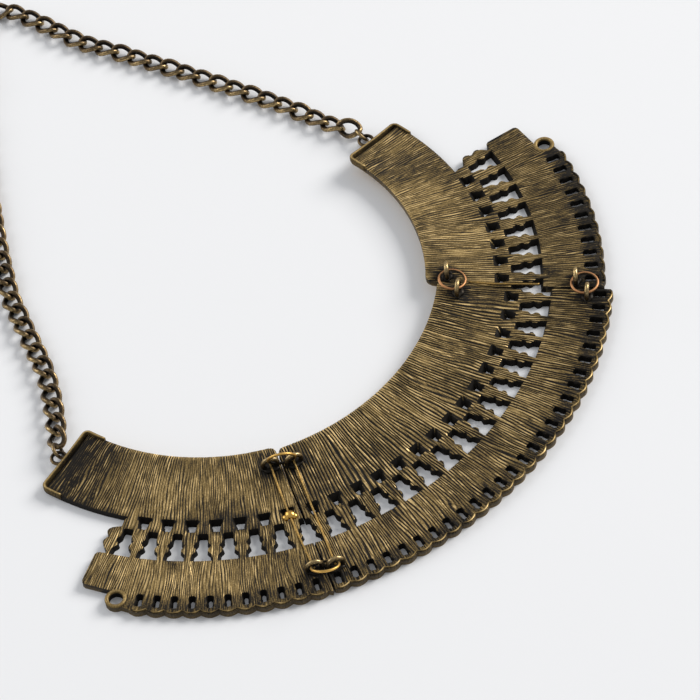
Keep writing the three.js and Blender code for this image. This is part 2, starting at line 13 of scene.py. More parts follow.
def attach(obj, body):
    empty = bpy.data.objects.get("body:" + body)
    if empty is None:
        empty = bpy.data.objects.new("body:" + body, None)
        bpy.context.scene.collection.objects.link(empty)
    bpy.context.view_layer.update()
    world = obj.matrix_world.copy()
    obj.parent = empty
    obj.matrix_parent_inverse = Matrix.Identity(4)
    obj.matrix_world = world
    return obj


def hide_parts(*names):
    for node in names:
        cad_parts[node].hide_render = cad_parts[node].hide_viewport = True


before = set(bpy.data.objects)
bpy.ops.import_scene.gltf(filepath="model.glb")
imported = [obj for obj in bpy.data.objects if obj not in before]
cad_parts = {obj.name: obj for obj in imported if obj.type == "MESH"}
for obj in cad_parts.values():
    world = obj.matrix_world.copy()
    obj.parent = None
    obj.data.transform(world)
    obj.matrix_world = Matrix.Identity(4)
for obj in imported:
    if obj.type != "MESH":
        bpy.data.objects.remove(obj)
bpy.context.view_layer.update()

bl_info = {
    "name": "Bib Necklace",
    "version": (1, 0, 0),
    "blender": (4, 5, 0),
    "location": "View3D > Sidebar > Necklace",
    "description": "Models a cast bib necklace on a curb chain, seen from its grooved back",
    "category": "Object",
}

MM = 0.001

# One plate's sizes along its radius, in millimetres, counted from the neck outwards.
Plan = namedtuple("Plan", "neck band bell lower_band rim_row rim_bar")
CENTRE = Plan(neck=59.2, band=16.8, bell=7.7, lower_band=10.25, rim_row=3.45, rim_bar=1.6)
SIDE = Plan(neck=53.7, band=17.2, bell=8.1, lower_band=10.3, rim_row=3.6, rim_bar=1.7)
SMALL_ROW = 3.7
ROW_BRIDGE = 0.45

# The rows of openings: how many, and how many degrees apart.
CENTRE_SMALL_COUNT = 15
CENTRE_RIM_COUNT = 27
CENTRE_PITCH = 4.42
CENTRE_RIM_MARGIN = 2.0
SIDE_SMALL_COUNT = 7
SIDE_RIM_COUNT = 11
SIDE_PITCH = 4.63
SIDE_RIM_PITCH = 2.57
SIDE_RIM_MARGIN = 3.1

# Half widths of each kind of opening, in millimetres, with the place down its depth as a share.
Row = namedtuple("Row", "down half")
SMALL_OPENING = [
    Row(0, 1.4), Row(0.03, 1.66), Row(0.09, 1.8), Row(0.24, 1.78), Row(0.33, 1.55), Row(0.42, 1.36),
    Row(0.9, 1.12), Row(0.97, 1.0), Row(1, 0.8),
]
BELL_OPENING = [
    Row(0, 1.0), Row(0.05, 1.3), Row(0.28, 1.3), Row(0.36, 1.7), Row(0.43, 2.15), Row(0.5, 1.9),
    Row(0.56, 1.5), Row(0.64, 1.45), Row(0.7, 1.9), Row(0.76, 2.45), Row(0.96, 2.68), Row(1, 2.6),
]
RIM_OPENING = [
    Row(0, 0.35), Row(0.04, 0.66), Row(0.12, 0.9), Row(0.22, 0.97), Row(0.4, 0.88), Row(0.55, 0.8),
    Row(0.72, 0.92), Row(0.86, 1.0), Row(0.94, 0.84), Row(0.98, 0.6), Row(1, 0.35),
]

# Where the side plates lie, and the joint between them and the centre plate.
JOINT_GAP = 0.5
LEFT_CENTRE = (0.4, -5.3)
RIGHT_CENTRE = (-0.5, -3.3)

# How finely the plates' backs are divided, and how far a cutter reaches below them.
SLAB_ROWS = 36
CENTRE_COLUMNS = 1200
SIDE_COLUMNS = 960
CUT_REACH = 12
SMOOTH_ANGLE = 50

# The roundings of the plates' corners, in millimetres.
NECK_CORNER = 1.4
RIM_CORNER = 0.8
ARM_CORNER = 1.2

# The free ends of the side plates, in millimetres and degrees.
ARM_END = 88.2
ARM_PAST_ROWS = 0.7
BAND_PAST_ROW = 4.0
TAIL_STUB = 2.0
Knob = namedtuple("Knob", "down out")
TAIL_BAR = [
    Knob(0, 3.3), Knob(0.05, 4.2), Knob(0.12, 4.8), Knob(0.2, 5.05), Knob(0.28, 4.9), Knob(0.34, 4.4),
    Knob(0.39, 4.2), Knob(0.44, 4.5), Knob(0.52, 5.0), Knob(0.6, 5.15), Knob(0.68, 5.0), Knob(0.76, 4.5),
    Knob(0.82, 4.2), Knob(0.92, 3.4),
]
EYELET_HOLE = 1.75
EYELET_WALL = 0.9
EYELET_PAST_ROW = 1.3
EYELET_OUT = 0.3
EYELET_SWELL = 0.06
EYELET_DROP = 0.35
LIP_REACH = 5.6
LIP_OVERHANG = 0.35
LIP_HALF_HEIGHT = 0.95
LIP_DROP = 0.45
LIP_ROUND = 1.3
LIP_SQUARENESS = 0.55
CHANNEL_WIDTH = 0.85
CHANNEL_DEPTH = 0.8
CHANNEL_INSET = 0.15
NOTCH_DEPTH = 0.85
BEAD_HALF_WIDTH = 0.25

# How far the walls lean in from the back to the front, in millimetres: openings, and the joint's sides.
Leans = namedtuple("Leans", "small bell rim")
LEFT_LEANS = Leans(small=0.75, bell=0.55, rim=0.5)
CENTRE_LEANS = Leans(small=1.25, bell=0.55, rim=0.15)
RIGHT_LEANS = Leans(small=1.25, bell=0.7, rim=-0.15)
JOINT_LEAN = 0.17
CAST_RING_DROP = 0.9

# Where the soldered eyes stand: out from the neck edge, and to the side of the joint line.
Eye = namedtuple("Eye", "out spread")
INNER_EYE = Eye(out=5.4, spread=2.85)
OUTER_EYE = Eye(out=37.6, spread=2.5)

# How each jump ring hangs in its two eyes: the lean of its outer side in degrees, and its drop.
Hang = namedtuple("Hang", "lean drop")
RING_HANGS = {
    "jump_ring_left_inner": Hang(70, -0.8),
    "jump_ring_left_outer": Hang(32, -0.5),
    "jump_ring_right_inner": Hang(-8, 0.1),
    "jump_ring_right_outer": Hang(0, 0.1),
}
RING_SLACK = 0.23

# The soldered wires: where each starts before its first eye, and how far it rises to its eyes.
WIRE_START = 0.6
WIRE_RISE = 0.9

# The right plate's wire, in from the joint's edge, and where it starts and stops. The drop of solder
# lies at a share of the way down the small openings.
EDGE_WIRE_IN = 0.8
EDGE_WIRE_START = 10.8
EDGE_WIRE_STOP = 1
SOLDER_DOWN = 0.7

# How high an eye stands, and the size of the solder at its foot, in millimetres.
EYE_LIFT = 0.75
FOOT_SIZE = (2.3, 1.5, 0.75)
FOOT_DROP = 0.78

# The way that each chain takes, from its arm to the clasp, in millimetres from the middle of the arcs.
LEFT_ROUTE = [
    (-60.2, -2.4), (-55.6, 2.3), (-49.2, 9.3), (-43.5, 16.8), (-38.3, 25.9), (-33.7, 33.9), (-30.1, 40),
    (-24.2, 47.5), (-20.8, 51.8), (-12.4, 61.5), (-3, 72.2), (6.5, 82.5),
]
RIGHT_ROUTE = [
    (63.3, 0), (62.3, 4.7), (61.3, 14.7), (60.4, 24.7), (58.9, 34.4), (57.3, 44), (54.1, 61.3),
    (51.2, 75.5), (49.2, 84.8), (48.8, 94.3), (48.3, 103.2), (46.6, 110.5), (40.6, 113.6),
]
LINK_PITCH = 4.9
LINK_HALF_WIDTH = 2.05
LINK_TWIST = -45
LINK_PRESS = 0.24
SEAT_GAP = 0.3
REST_CLEARANCE = 0.02
START_ROLL = 58
CLASP_ROLL = 130
SETTLE_LENGTH = 8.0

# How the links sway from side to side and how far the first ones are turned, in degrees, and how far a
# degree of turn lifts a link, in millimetres.
LINK_SWAY = 9
FIRST_TURN = 34
TURN_LIFT = 0.024
CLASP_CENTRE = (26.0, 103.2)
CLASP_TURN = 45
CLASP_LENGTH = 12.0
CLASP_WIDTH = 6.0
CLASP_WALL = 1.0
CLASP_EYE = 1.8


def length_setting(name, description, default, low):
    """A size that a user would change, with its default and lowest value in millimetres."""
    return FloatProperty(
        name=name, description=description, default=default * MM, min=low * MM,
        subtype="DISTANCE", unit="LENGTH")


def colour_setting(name, description, default):
    return FloatVectorProperty(
        name=name, description=description, default=default, subtype="COLOR", min=0, max=1)


class NecklaceSizes(bpy.types.PropertyGroup):
    """Sizes that change the necklace's make without moving its plates."""
    plate_thickness: length_setting("Plate thickness", "Thickness of the cast plates", 2, 0.5)
    neck_rise: length_setting("Neck rise", "How far the neck edge stands above the flat part", 2.8, 0)
    groove_spacing: length_setting(
        "Groove spacing", "Distance between the ridges on the back, half way out", 0.6, 0.2)
    groove_depth: length_setting("Groove depth", "How deep the grooves between the ridges are", 0.17, 0)
    edge_rounding: length_setting("Edge rounding", "How far the cast edges are rounded off", 0.3, 0)
    jump_ring_radius: length_setting(
        "Jump ring radius", "Radius of the jump rings at the middle of their wire", 3.3, 1)
    jump_ring_wire: length_setting("Jump ring wire", "Radius of the jump rings' wire", 0.35, 0.1)
    eye_radius: length_setting(
        "Eye radius", "Radius of the soldered eyes at the middle of their wire", 1.85, 0.5)
    eye_wire: length_setting("Eye wire", "Radius of the soldered eyes' wire", 0.6, 0.1)
    leg_wire: length_setting("Back wire", "Radius of the straight wires soldered along the back", 0.25, 0.1)
    link_wire: length_setting("Link wire", "Radius of the chain links' wire", 0.7, 0.1)
    end_ring_radius: length_setting("End ring radius", "Radius of the rings at the chains' ends", 1.9, 1)
    cast_ring_radius: length_setting(
        "Cast ring radius", "Radius of the cast rings at the arms' ends", 1.8, 1)
    cast_ring_wire: length_setting(
        "Cast ring wire", "Radius of the wire of the cast and end rings", 0.45, 0.1)
    lip_width: length_setting("Lip width", "Width of the lip that wraps each arm's end", 0.8, 0.3)
    link_steps: IntProperty(
        name="Link steps", description="How many steps each link's oval has", default=26, min=10, max=60)


class NecklaceColours(bpy.types.PropertyGroup):
    """Colours of the metal's finishes and of the table."""
    # Groove also colours the openings' walls all over, as antiquing and painted shade.
    groove: colour_setting("Groove", "Dark antiquing that stays in the grooves", (0.015, 0.0125, 0.01))
    body: colour_setting("Body", "Brown of the antiqued metal", (0.215, 0.145, 0.052))
    wall: colour_setting("Wall", "Dark brown of the cast walls and the soldered eyes", (0.075, 0.055, 0.03))
    # Ridge is also the colour of the painted glints and highlights on the ridges, beads, lip and eyes.
    ridge: colour_setting("Ridge", "Brass that is worn bright on the ridges", (0.74, 0.525, 0.235))
    wire: colour_setting("Wire", "Golden wire and solder", (0.72, 0.43, 0.11))
    chain: colour_setting("Chain", "Brown of the chain's wire", (0.1, 0.066, 0.034))
    copper: colour_setting("Copper", "Coppery jump rings", (0.5, 0.25, 0.11))
    table: colour_setting("Table", "Pale table top", (0.8, 0.796, 0.8))


# Places on the necklace, in millimetres about the middle of a plate's arcs.


def mm(name):
    """One of the user's sizes, in millimetres."""
    return getattr(bpy.context.scene.necklace_sizes, name) / MM


def radii(plan):
    small_row = plan.neck + plan.band
    bell_row = small_row + SMALL_ROW + ROW_BRIDGE
    lower_band = bell_row + plan.bell
    rim_row = lower_band + plan.lower_band
    rim = rim_row + plan.rim_row + plan.rim_bar
    names = namedtuple("Radii", "neck small_row bell_row lower_band rim_row rim_mid rim")
    return names(plan.neck, small_row, bell_row, lower_band, rim_row, rim_row + plan.rim_row / 2, rim)


CENTRE_RADII = radii(CENTRE)
SIDE_RADII = radii(SIDE)
ORIGIN_RADIUS = (CENTRE_RADII.lower_band + CENTRE_RADII.rim_row) / 2
JOINT_ANGLE = CENTRE_PITCH * CENTRE_SMALL_COUNT / 2
ARM_RADIUS = SIDE_RADII.small_row + ARM_PAST_ROWS


def polar(radius, angle):
    return Vector((radius * math.sin(math.radians(angle)), -radius * math.cos(math.radians(angle))))


def arc_angle(length, radius):
    return math.degrees(length / radius)


def side_joint_angle(radius, centre):
    """The angle at which a side plate's own radius meets the joint line."""
    offset = JOINT_GAP / 2 - polar(1, JOINT_ANGLE + 90).dot(Vector(centre))
    return JOINT_ANGLE + math.degrees(math.asin(offset / radius))


def centre_joint_angle(radius):
    return JOINT_ANGLE - math.degrees(math.asin(JOINT_GAP / 2 / radius))


def back_height(radius, plan):
    """Height of the back in millimetres: flat past the neck band, a shallow dish within it."""
    band = plan.small_row - plan.neck
    share = np.clip((plan.small_row - radius) / band, 0, 1)
    return mm("plate_thickness") + mm("neck_rise") * share * (0.6 + 0.4 * share)


def to_part(point, centre, side):
    """A point in millimetres about an arc centre on the right-hand side, in the part's metres."""
    x = side * (point[0] + centre[0])
    return Vector((x, point[1] + centre[1] + ORIGIN_RADIUS, point[2])) * MM


def on_plate(radius, angle, height, centre, side):
    """A plate's point at a radius, an angle and a height, in the part's metres."""
    flat = polar(radius, angle)
    return to_part((flat.x, flat.y, height), centre, side)


# Modelling helpers.


def deselect():
    if bpy.context.object and bpy.context.object.mode != "OBJECT":
        bpy.ops.object.mode_set(mode="OBJECT")
    bpy.ops.object.select_all(action="DESELECT")


def pick(piece):
    deselect()
    piece.select_set(True)
    bpy.context.view_layer.objects.active = piece


def added(operator, **settings):
    """Adds a primitive, light or camera with nothing else selected."""
    deselect()
    operator(**settings)
    return bpy.context.active_object


def edit_all(piece, *steps):
    """Takes steps in edit mode, each with the whole piece selected."""
    pick(piece)
    bpy.ops.object.mode_set(mode="EDIT")
    for step in steps:
        bpy.ops.mesh.select_all(action="SELECT")
        step()
    bpy.ops.object.mode_set(mode="OBJECT")


def extruded(height):
    return lambda: bpy.ops.mesh.extrude_region_move(TRANSFORM_OT_translate={"value": (0, 0, height)})


def join(pieces, name):
    """Joins pieces into the first one and names it."""
    deselect()
    for piece in pieces:
        piece.select_set(True)
    bpy.context.view_layer.objects.active = pieces[0]
    if len(pieces) > 1:
        bpy.ops.object.join()
    pieces[0].name = name
    return pieces[0]


def set_value(piece, name, values):
    """Writes one number for each point, which the materials read by its name."""
    layer = piece.data.attributes.get(name) or piece.data.attributes.new(name, "FLOAT", "POINT")
    layer.data.foreach_set("value", np.asarray(values, dtype=np.float32))


def points_of(piece):
    flat = np.empty(len(piece.data.vertices) * 3)
    piece.data.vertices.foreach_get("co", flat)
    return flat.reshape(-1, 3)


def place_points(piece, points):
    piece.data.vertices.foreach_set("co", np.asarray(points, dtype=np.float64).ravel())
    piece.data.update()


def wrapped_wire(name, steps, sides, place, wear, closed):
    """Wraps a grid into a wire. place and wear give each point and its wear for shares along and around."""
    wire = added(bpy.ops.mesh.primitive_grid_add, x_subdivisions=steps, y_subdivisions=sides, size=1)
    wire.name = name
    shares = points_of(wire)[:, :2] + 0.5
    place_points(wire, [place(along, around) for along, around in shares])
    set_value(wire, "worn", [wear(along, around) for along, around in shares])
    bpy.ops.object.mode_set(mode="EDIT")
    bpy.ops.mesh.select_all(action="SELECT")
    bpy.ops.mesh.remove_doubles(threshold=1e-6)
    if not closed:
        bpy.ops.mesh.select_all(action="DESELECT")
        bpy.ops.mesh.select_non_manifold()
        bpy.ops.mesh.fill_holes(sides=sides)
        bpy.ops.mesh.select_all(action="SELECT")
    bpy.ops.mesh.normals_make_consistent(inside=False)
    bpy.ops.object.mode_set(mode="OBJECT")
    bpy.ops.object.shade_smooth()
    return wire


def outer_wear(along, around):
    """A ring's outer side is worn bright and its inner side stays dark."""
    return 0.5 + 0.45 * math.cos(2 * math.pi * around)


def link_wear(along, around):
    """Chain wire is browner than the rings', with a streak worn along its outer side."""
    return 0.36 + 0.3 * math.cos(2 * math.pi * around)


def round_ring(name, radius, wire, steps=36, sides=10, wear=outer_wear):
    """A wire ring in the XY plane, about the origin."""
    def place(along, around):
        turn = 2 * math.pi * along
        bend = 2 * math.pi * around
        reach = radius + wire * math.cos(bend)
        return Vector((reach * math.cos(turn), reach * math.sin(turn), wire * math.sin(bend)))
    return wrapped_wire(name, steps, sides, place, wear, closed=True)


def even_wear(along, around):
    return 0.62


def tube(name, path, width, height, roundness=1.0, sides=10, wear=even_wear):
    """A bar along a path of points in metres, its width level and its height upright."""
    path = [Vector(point) for point in path]
    count = len(path) - 1

    def place(along, around):
        step = round(along * count)
        ahead = path[min(step + 1, count)] - path[max(step - 1, 0)]
        across = Vector((0, 0, 1)).cross(ahead).normalized()
        up = ahead.cross(across).normalized()
        bend = 2 * math.pi * around
        wide = math.copysign(abs(math.cos(bend)) ** roundness, math.cos(bend))
        high = math.copysign(abs(math.sin(bend)) ** roundness, math.sin(bend))
        return path[step] + across * (width * wide) + up * (height * high)
    return wrapped_wire(name, count, sides, place, wear, closed=False)


def copy_of(piece, matrix):
    twin = piece.copy()
    twin.data = piece.data.copy()
    twin.data.transform(matrix)
    bpy.context.scene.collection.objects.link(twin)
    return twin


def finish_piece(piece, nodes=()):
    """Hands a finished piece over to the frame."""
    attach(piece, "root")
    if nodes:
        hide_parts(*nodes)


# Cast plates.

LATTICE = np.random.RandomState(7).rand(8, 128, 128)

# The side plates' grooves are fainter than the centre plate's. -1 is the left plate and 1 the right one.
# GROOVE_SHIFT starts each plate at its own stretch of the pattern. SHARPNESS also sets how strong the
# painted glints are. Stains and the beads' wear and painted highlight are shares.
GROOVE_SHIFT = {-1: 31.7, 0: 0, 1: 64.3}
SHARPNESS = {-1: 0.9, 0: 1.35, 1: 0.9}
GROOVE_SHARE = {-1: 0.8, 0: 1.2, 1: 0.75}
SPACING_SHARE = {-1: 1.0, 0: 1.25, 1: 1.0}
ARM_STAIN = {-1: 0.55, 0: 0.0, 1: 0.08}
BEAD_SHEEN_AND_WEAR = {-1: 0.6, 0: 1.0, 1: 0.35}


def smooth_noise(x, y, layer):
    """Soft noise from 0 to 1 over a plane, one of eight kinds."""
    table = LATTICE[layer]
    left = np.floor(x).astype(int)
    low = np.floor(y).astype(int)
    across = x - left
    up = y - low
    across = across * across * (3 - 2 * across)
    up = up * up * (3 - 2 * up)

    def at(i, j):
        return table[(left + i) % 128, (low + j) % 128]
    bottom = at(0, 0) * (1 - across) + at(1, 0) * across
    top = at(0, 1) * (1 - across) + at(1, 1) * across
    return bottom * (1 - up) + top * up


def smoothstep(low, high, values):
    share = np.clip((values - low) / (high - low), 0, 1)
    return share * share * (3 - 2 * share)


def ridges(along, radius, side):
    """Height of the wavy ridges, and their wear with painted glints on the crests, from 0 to 1. along runs
    round the arc, radius outwards, in mm.
    """
    sharpness = SHARPNESS[side]
    spacing = mm("groove_spacing") * SPACING_SHARE[side]
    wander = 2.2 * (smooth_noise(along / 7, radius / 15, 0) - 0.5)
    wander += 0.9 * (smooth_noise(along / 1.7, radius / 8, 1) - 0.5)
    phase = (along + wander) / spacing
    from_groove = np.abs(phase - np.floor(phase) - 0.5)
    strength = sharpness * (0.2 + 1.1 * smooth_noise(along / 1.1, radius / 9, 2))
    height = np.clip(1 - strength * (1 - smoothstep(0.08, 0.32, from_groove)), 0, 1)
    fine = smooth_noise(along / 0.19, radius / 3.5, 3)
    height = np.clip(height - 0.2 * fine, 0, 1)
    crest = smoothstep(0.26, 0.42, from_groove)
    patches = smooth_noise(along / 0.6, radius / 2.6, 4)
    # Painted glint: lighter patches on the crests stand in for highlights.
    glint = crest * smoothstep(0.62, 0.88, patches)
    broad = smooth_noise(along / 9, radius / 9, 5)
    worn = height * (0.4 + 0.36 * broad) + 0.7 * sharpness ** 2 * glint
    return height, np.clip(worn, 0, 1)


def two_zones(angle, radius, plan, side):
    """The grooves of the neck band and those of the outer bands, which meet in the pierced rows."""
    shift = GROOVE_SHIFT[side]
    inner = ridges(angle * (plan.neck + 7) + shift, radius, side)
    outer = ridges(angle * (plan.rim - 6) + shift, radius, side)
    share = smoothstep(plan.bell_row - 0.3, plan.bell_row + 1.2, radius)
    return [near * (1 - share) + far * share for near, far in zip(inner, outer)]


def polar_slab(name, plan, start, end, columns, both_lean):
    """A closed slab between two angles, over the whole radius, as a fine grid on both faces."""
    slab = added(bpy.ops.mesh.primitive_grid_add, x_subdivisions=columns, y_subdivisions=SLAB_ROWS, size=1)
    slab.name = name
    edit_all(slab, extruded(-1))
    points = points_of(slab)
    radius = plan.neck + (points[:, 1] + 0.5) * (plan.rim - plan.neck)
    first = np.array([start(r) for r in radius])
    last = np.array([end(r) for r in radius])
    front = points[:, 2] < -0.5
    lean = np.degrees(JOINT_LEAN / radius) * front
    first = first - lean
    last = last + lean * both_lean
    angle = np.radians(first + (last - first) * (points[:, 0] + 0.5))
    height = back_height(radius, plan) - mm("plate_thickness") * front
    place_points(slab, np.column_stack((radius * np.sin(angle), -radius * np.cos(angle), height)))
    edit_all(slab, bpy.ops.mesh.normals_make_consistent)
    return slab


def prism(name, outline):
    """A cutter through the whole plate, over a closed outline in millimetres."""
    cutter = added(bpy.ops.mesh.primitive_circle_add, vertices=len(outline), radius=1, fill_type="NGON")
    cutter.name = name
    place_points(cutter, [(point[0], point[1], -CUT_REACH) for point in outline])
    edit_all(cutter, extruded(2.5 * CUT_REACH), bpy.ops.mesh.normals_make_consistent)
    return cutter


def opening(name, table, start, depth, lean):
    """A cutter for one opening of a row, at angle 0, narrower at the front than at the back."""
    thickness = mm("plate_thickness")
    right = [(row.half, -(start + row.down * depth)) for row in table]
    left = [(-x, y) for x, y in reversed(right)]
    cutter = prism(name, right + left)
    middle = -(start + depth / 2)
    wide = max(row.half for row in table)
    points = points_of(cutter)
    low = points[:, 2] < 0
    points[:, 2] = np.where(low, -0.5, thickness + 0.3)
    inward = lean / thickness * np.where(low, thickness + 0.5, -0.3)
    points[:, 0] *= 1 - inward / wide
    points[:, 1] = middle + (points[:, 1] - middle) * (1 - inward / (depth / 2))
    place_points(cutter, points)
    return cutter


def drawn_in(share):
    """How far the rim draws in, in millimetres, from a lobe's middle at 0 to the notch at 1."""
    return NOTCH_DEPTH * share ** 1.8


def notch(rim, pitch):
    """A cutter for the round notch between two lobes of the rim, at angle 0."""
    inner = []
    for step in range(-4, 5):
        inner.append(polar(rim + 0.02 - drawn_in(1 - abs(step) / 4), 0.5 * pitch * step / 4))
    return prism("notch", inner + [polar(rim + 1.5, 0.5 * pitch), polar(rim + 1.5, -0.5 * pitch)])


def row_cutters(plan, small_angles, bell_angles, rim_angles, rim_pitch, leans):
    """All the cutters of a plate's three rows of openings and its lobed rim."""
    bell_depth = plan.lower_band - plan.bell_row
    rim_depth = 2 * (plan.rim_mid - plan.rim_row)
    notch_angles = [rim_angles[0] - rim_pitch / 2] + [angle + rim_pitch / 2 for angle in rim_angles]
    rows = [
        (opening("small", SMALL_OPENING, plan.small_row, SMALL_ROW, leans.small), small_angles),
        (opening("bell", BELL_OPENING, plan.bell_row, bell_depth, leans.bell), bell_angles),
        (opening("rim", RIM_OPENING, plan.rim_row, rim_depth, leans.rim), rim_angles),
        (notch(plan.rim, rim_pitch), notch_angles),
    ]
    cutters = []
    for model, angles in rows:
        cutters += [copy_of(model, Matrix.Rotation(math.radians(angle), 4, "Z")) for angle in angles]
        bpy.data.objects.remove(model)
    return cutters


def corner(place, first, second, radius):
    """A cutter that rounds a corner, given the directions of its two edges."""
    local = [(-0.6, -0.6), (radius, -0.6)]
    for step in range(7):
        turn = math.radians(-90 - step * 15)
        local.append((radius + radius * math.cos(turn), radius + radius * math.sin(turn)))
    local.append((-0.6, radius))
    return prism("corner", [place + first * a + second * b for a, b in local])


def cut(solid, cutters):
    """Takes the cutters away from a solid."""
    tool = join(cutters, "cutter")
    change = solid.modifiers.new("Cut", "BOOLEAN")
    change.object = tool
    change.operation = "DIFFERENCE"
    change.solver = "MANIFOLD"
    pick(solid)
    bpy.ops.object.modifier_apply(modifier=change.name)
    bpy.data.objects.remove(tool)
    solid.data.materials.clear()


def edge_distances(solid, top):
    """For each point, how far the nearest edge between the back and a wall is, in millimetres."""
    mesh = bmesh.new()
    mesh.from_mesh(solid.data)
    mesh.normal_update()
    marks = []
    for edge in mesh.edges:
        if len(edge.link_faces) != 2:
            continue
        slopes = sorted(abs(face.normal.z) for face in edge.link_faces)
        if slopes[0] > 0.5 or slopes[1] < 0.7:
            continue
        first, second = (vertex.co for vertex in edge.verts)
        if not (top[edge.verts[0].index] and top[edge.verts[1].index]):
            continue
        parts = max(1, int((first - second).length / 0.2))
        marks += [first.lerp(second, step / parts) for step in range(parts + 1)]
    mesh.free()
    tree = KDTree(len(marks))
    for index, mark in enumerate(marks):
        tree.insert((mark.x, mark.y, 0), index)
    tree.balance()
    points = points_of(solid)
    return np.array([tree.find((x, y, 0))[2] if up else 9.0 for (x, y, _), up in zip(points, top)])


def dress_plate(solid, plan, eyes, side):
    """Raises the ridges on the back, rounds the edges, and writes what the finish reads."""
    points = points_of(solid)
    radius = np.hypot(points[:, 0], points[:, 1])
    angle = np.arctan2(points[:, 0], -points[:, 1])
    back = back_height(radius, plan)
    top = points[:, 2] > back - 0.5 * mm("plate_thickness")
    near = edge_distances(solid, top)
    along = angle * (plan.neck + plan.rim) / 2 + GROOVE_SHIFT[side]
    raised, worn = two_zones(angle, radius, plan, side)
    depth = mm("groove_depth") * GROOVE_SHARE[side]
    rim_row_end = 2 * plan.rim_mid - plan.rim_row
    by_openings = (radius > plan.small_row - 1.2) & (radius < rim_row_end + 0.2)
    rounding = mm("edge_rounding") * np.where(by_openings, 0.5, 1)
    worn_down = rounding * np.clip(1 - near / (1.6 * rounding), 0, 1) ** 2
    sunk = points[:, 2] < back - 0.4
    points[:, 2] += np.where(top, (raised - 1) * depth - worn_down, 0)
    place_points(solid, points)
    stain = np.zeros(len(points))
    for eye in eyes:
        reach = np.hypot(points[:, 0] - eye[0], points[:, 1] - eye[1])
        stain = np.maximum(stain, np.exp(-(reach / 3.0) ** 2))
    arm_end = smoothstep(ARM_END - 22, ARM_END - 3, np.degrees(angle))
    stain = np.maximum(stain, ARM_STAIN[side] * arm_end)
    if side >= 0:
        outer_band = smoothstep(plan.lower_band - 3, plan.lower_band + 3, radius)
        stain = np.maximum(stain, 0.2 * outer_band * smoothstep(5, 60, points[:, 0]))
    if side == 0:
        neck_band = 1 - smoothstep(plan.small_row - 2, plan.small_row + 2, radius)
        stain = np.maximum(stain, 0.2 * neck_band * smoothstep(0, 30, -points[:, 0]))
    pierced = is_pierced(radius, plan)
    worn = np.where(sunk, 0.0, worn)
    beads = smoothstep(plan.rim_row - 0.8, plan.rim_mid, radius)
    worn = worn * (1 - beads) + beads * (0.15 + 0.2 * worn)
    # Painted shade: the back darkens next to the openings' edges, more by the small row.
    shadow = np.where(radius < plan.bell_row, 0.3, 0.15)
    worn *= 1 - shadow * by_openings * np.exp(-(near / 0.45) ** 2)
    set_value(solid, "worn", np.where(top, worn, np.where(pierced, 0.0, 1.0)))
    # rim: a thin lighter line along the back's edges away from the openings, partly edge wear, partly
    # painted highlight.
    set_value(solid, "rim", np.where(top & ~by_openings, np.exp(-(near / 0.16) ** 2), 0))
    set_value(solid, "stain", np.where(top, stain, 0))
    strokes = solid.data.attributes.new("strokes", "FLOAT_VECTOR", "POINT")
    places = np.column_stack((along, radius, points[:, 2]))
    strokes.data.foreach_set("vector", places.astype(np.float32).ravel())


def is_pierced(radius, plan):
    """Whether a radius lies in one of the pierced rows."""
    rim_row_end = 2 * plan.rim_mid - plan.rim_row
    pierced = (radius > plan.small_row - 0.2) & (radius < plan.lower_band + 0.2)
    return pierced | ((radius > plan.rim_row - 0.2) & (radius < rim_row_end + 0.2))


def give_finishes(solid, plan):
    """The faces, the walls of the openings and the outer walls each take their own finish."""
    for name in ("Cast brass", "Opening wall in painted shade", "Outer wall"):
        give(solid, name)
    slopes = np.empty(len(solid.data.polygons) * 3)
    centres = np.empty(len(solid.data.polygons) * 3)
    solid.data.polygons.foreach_get("normal", slopes)
    solid.data.polygons.foreach_get("center", centres)
    across, along, _ = centres.reshape(-1, 3).T
    pierced = is_pierced(np.hypot(across, along), plan)
    wall = np.abs(slopes.reshape(-1, 3)[:, 2]) < 0.6
    kinds = np.where(wall, np.where(pierced, 1, 2), 0)
    solid.data.polygons.foreach_set("material_index", kinds.astype(np.int32))


def eye_place(plan, out, angle):
    """A soldered eye's middle, in millimetres about its plate's arc centre."""
    radius = plan.neck + out
    flat = polar(radius, angle)
    lift = EYE_LIFT * mm("eye_radius")
    return Vector((flat.x, flat.y, back_height(radius, plan) + lift)), angle, radius


def centre_eyes():
    places = []
    for eye in (INNER_EYE, OUTER_EYE):
        radius = CENTRE_RADII.neck + eye.out
        places.append(eye_place(CENTRE_RADII, eye.out, JOINT_ANGLE - arc_angle(eye.spread, radius)))
    return places


def side_eyes(centre):
    places = []
    for eye in (INNER_EYE, OUTER_EYE):
        radius = SIDE_RADII.neck + eye.out
        angle = side_joint_angle(radius, centre) + arc_angle(eye.spread - JOINT_GAP / 2, radius)
        places.append(eye_place(SIDE_RADII, eye.out, angle))
    return places


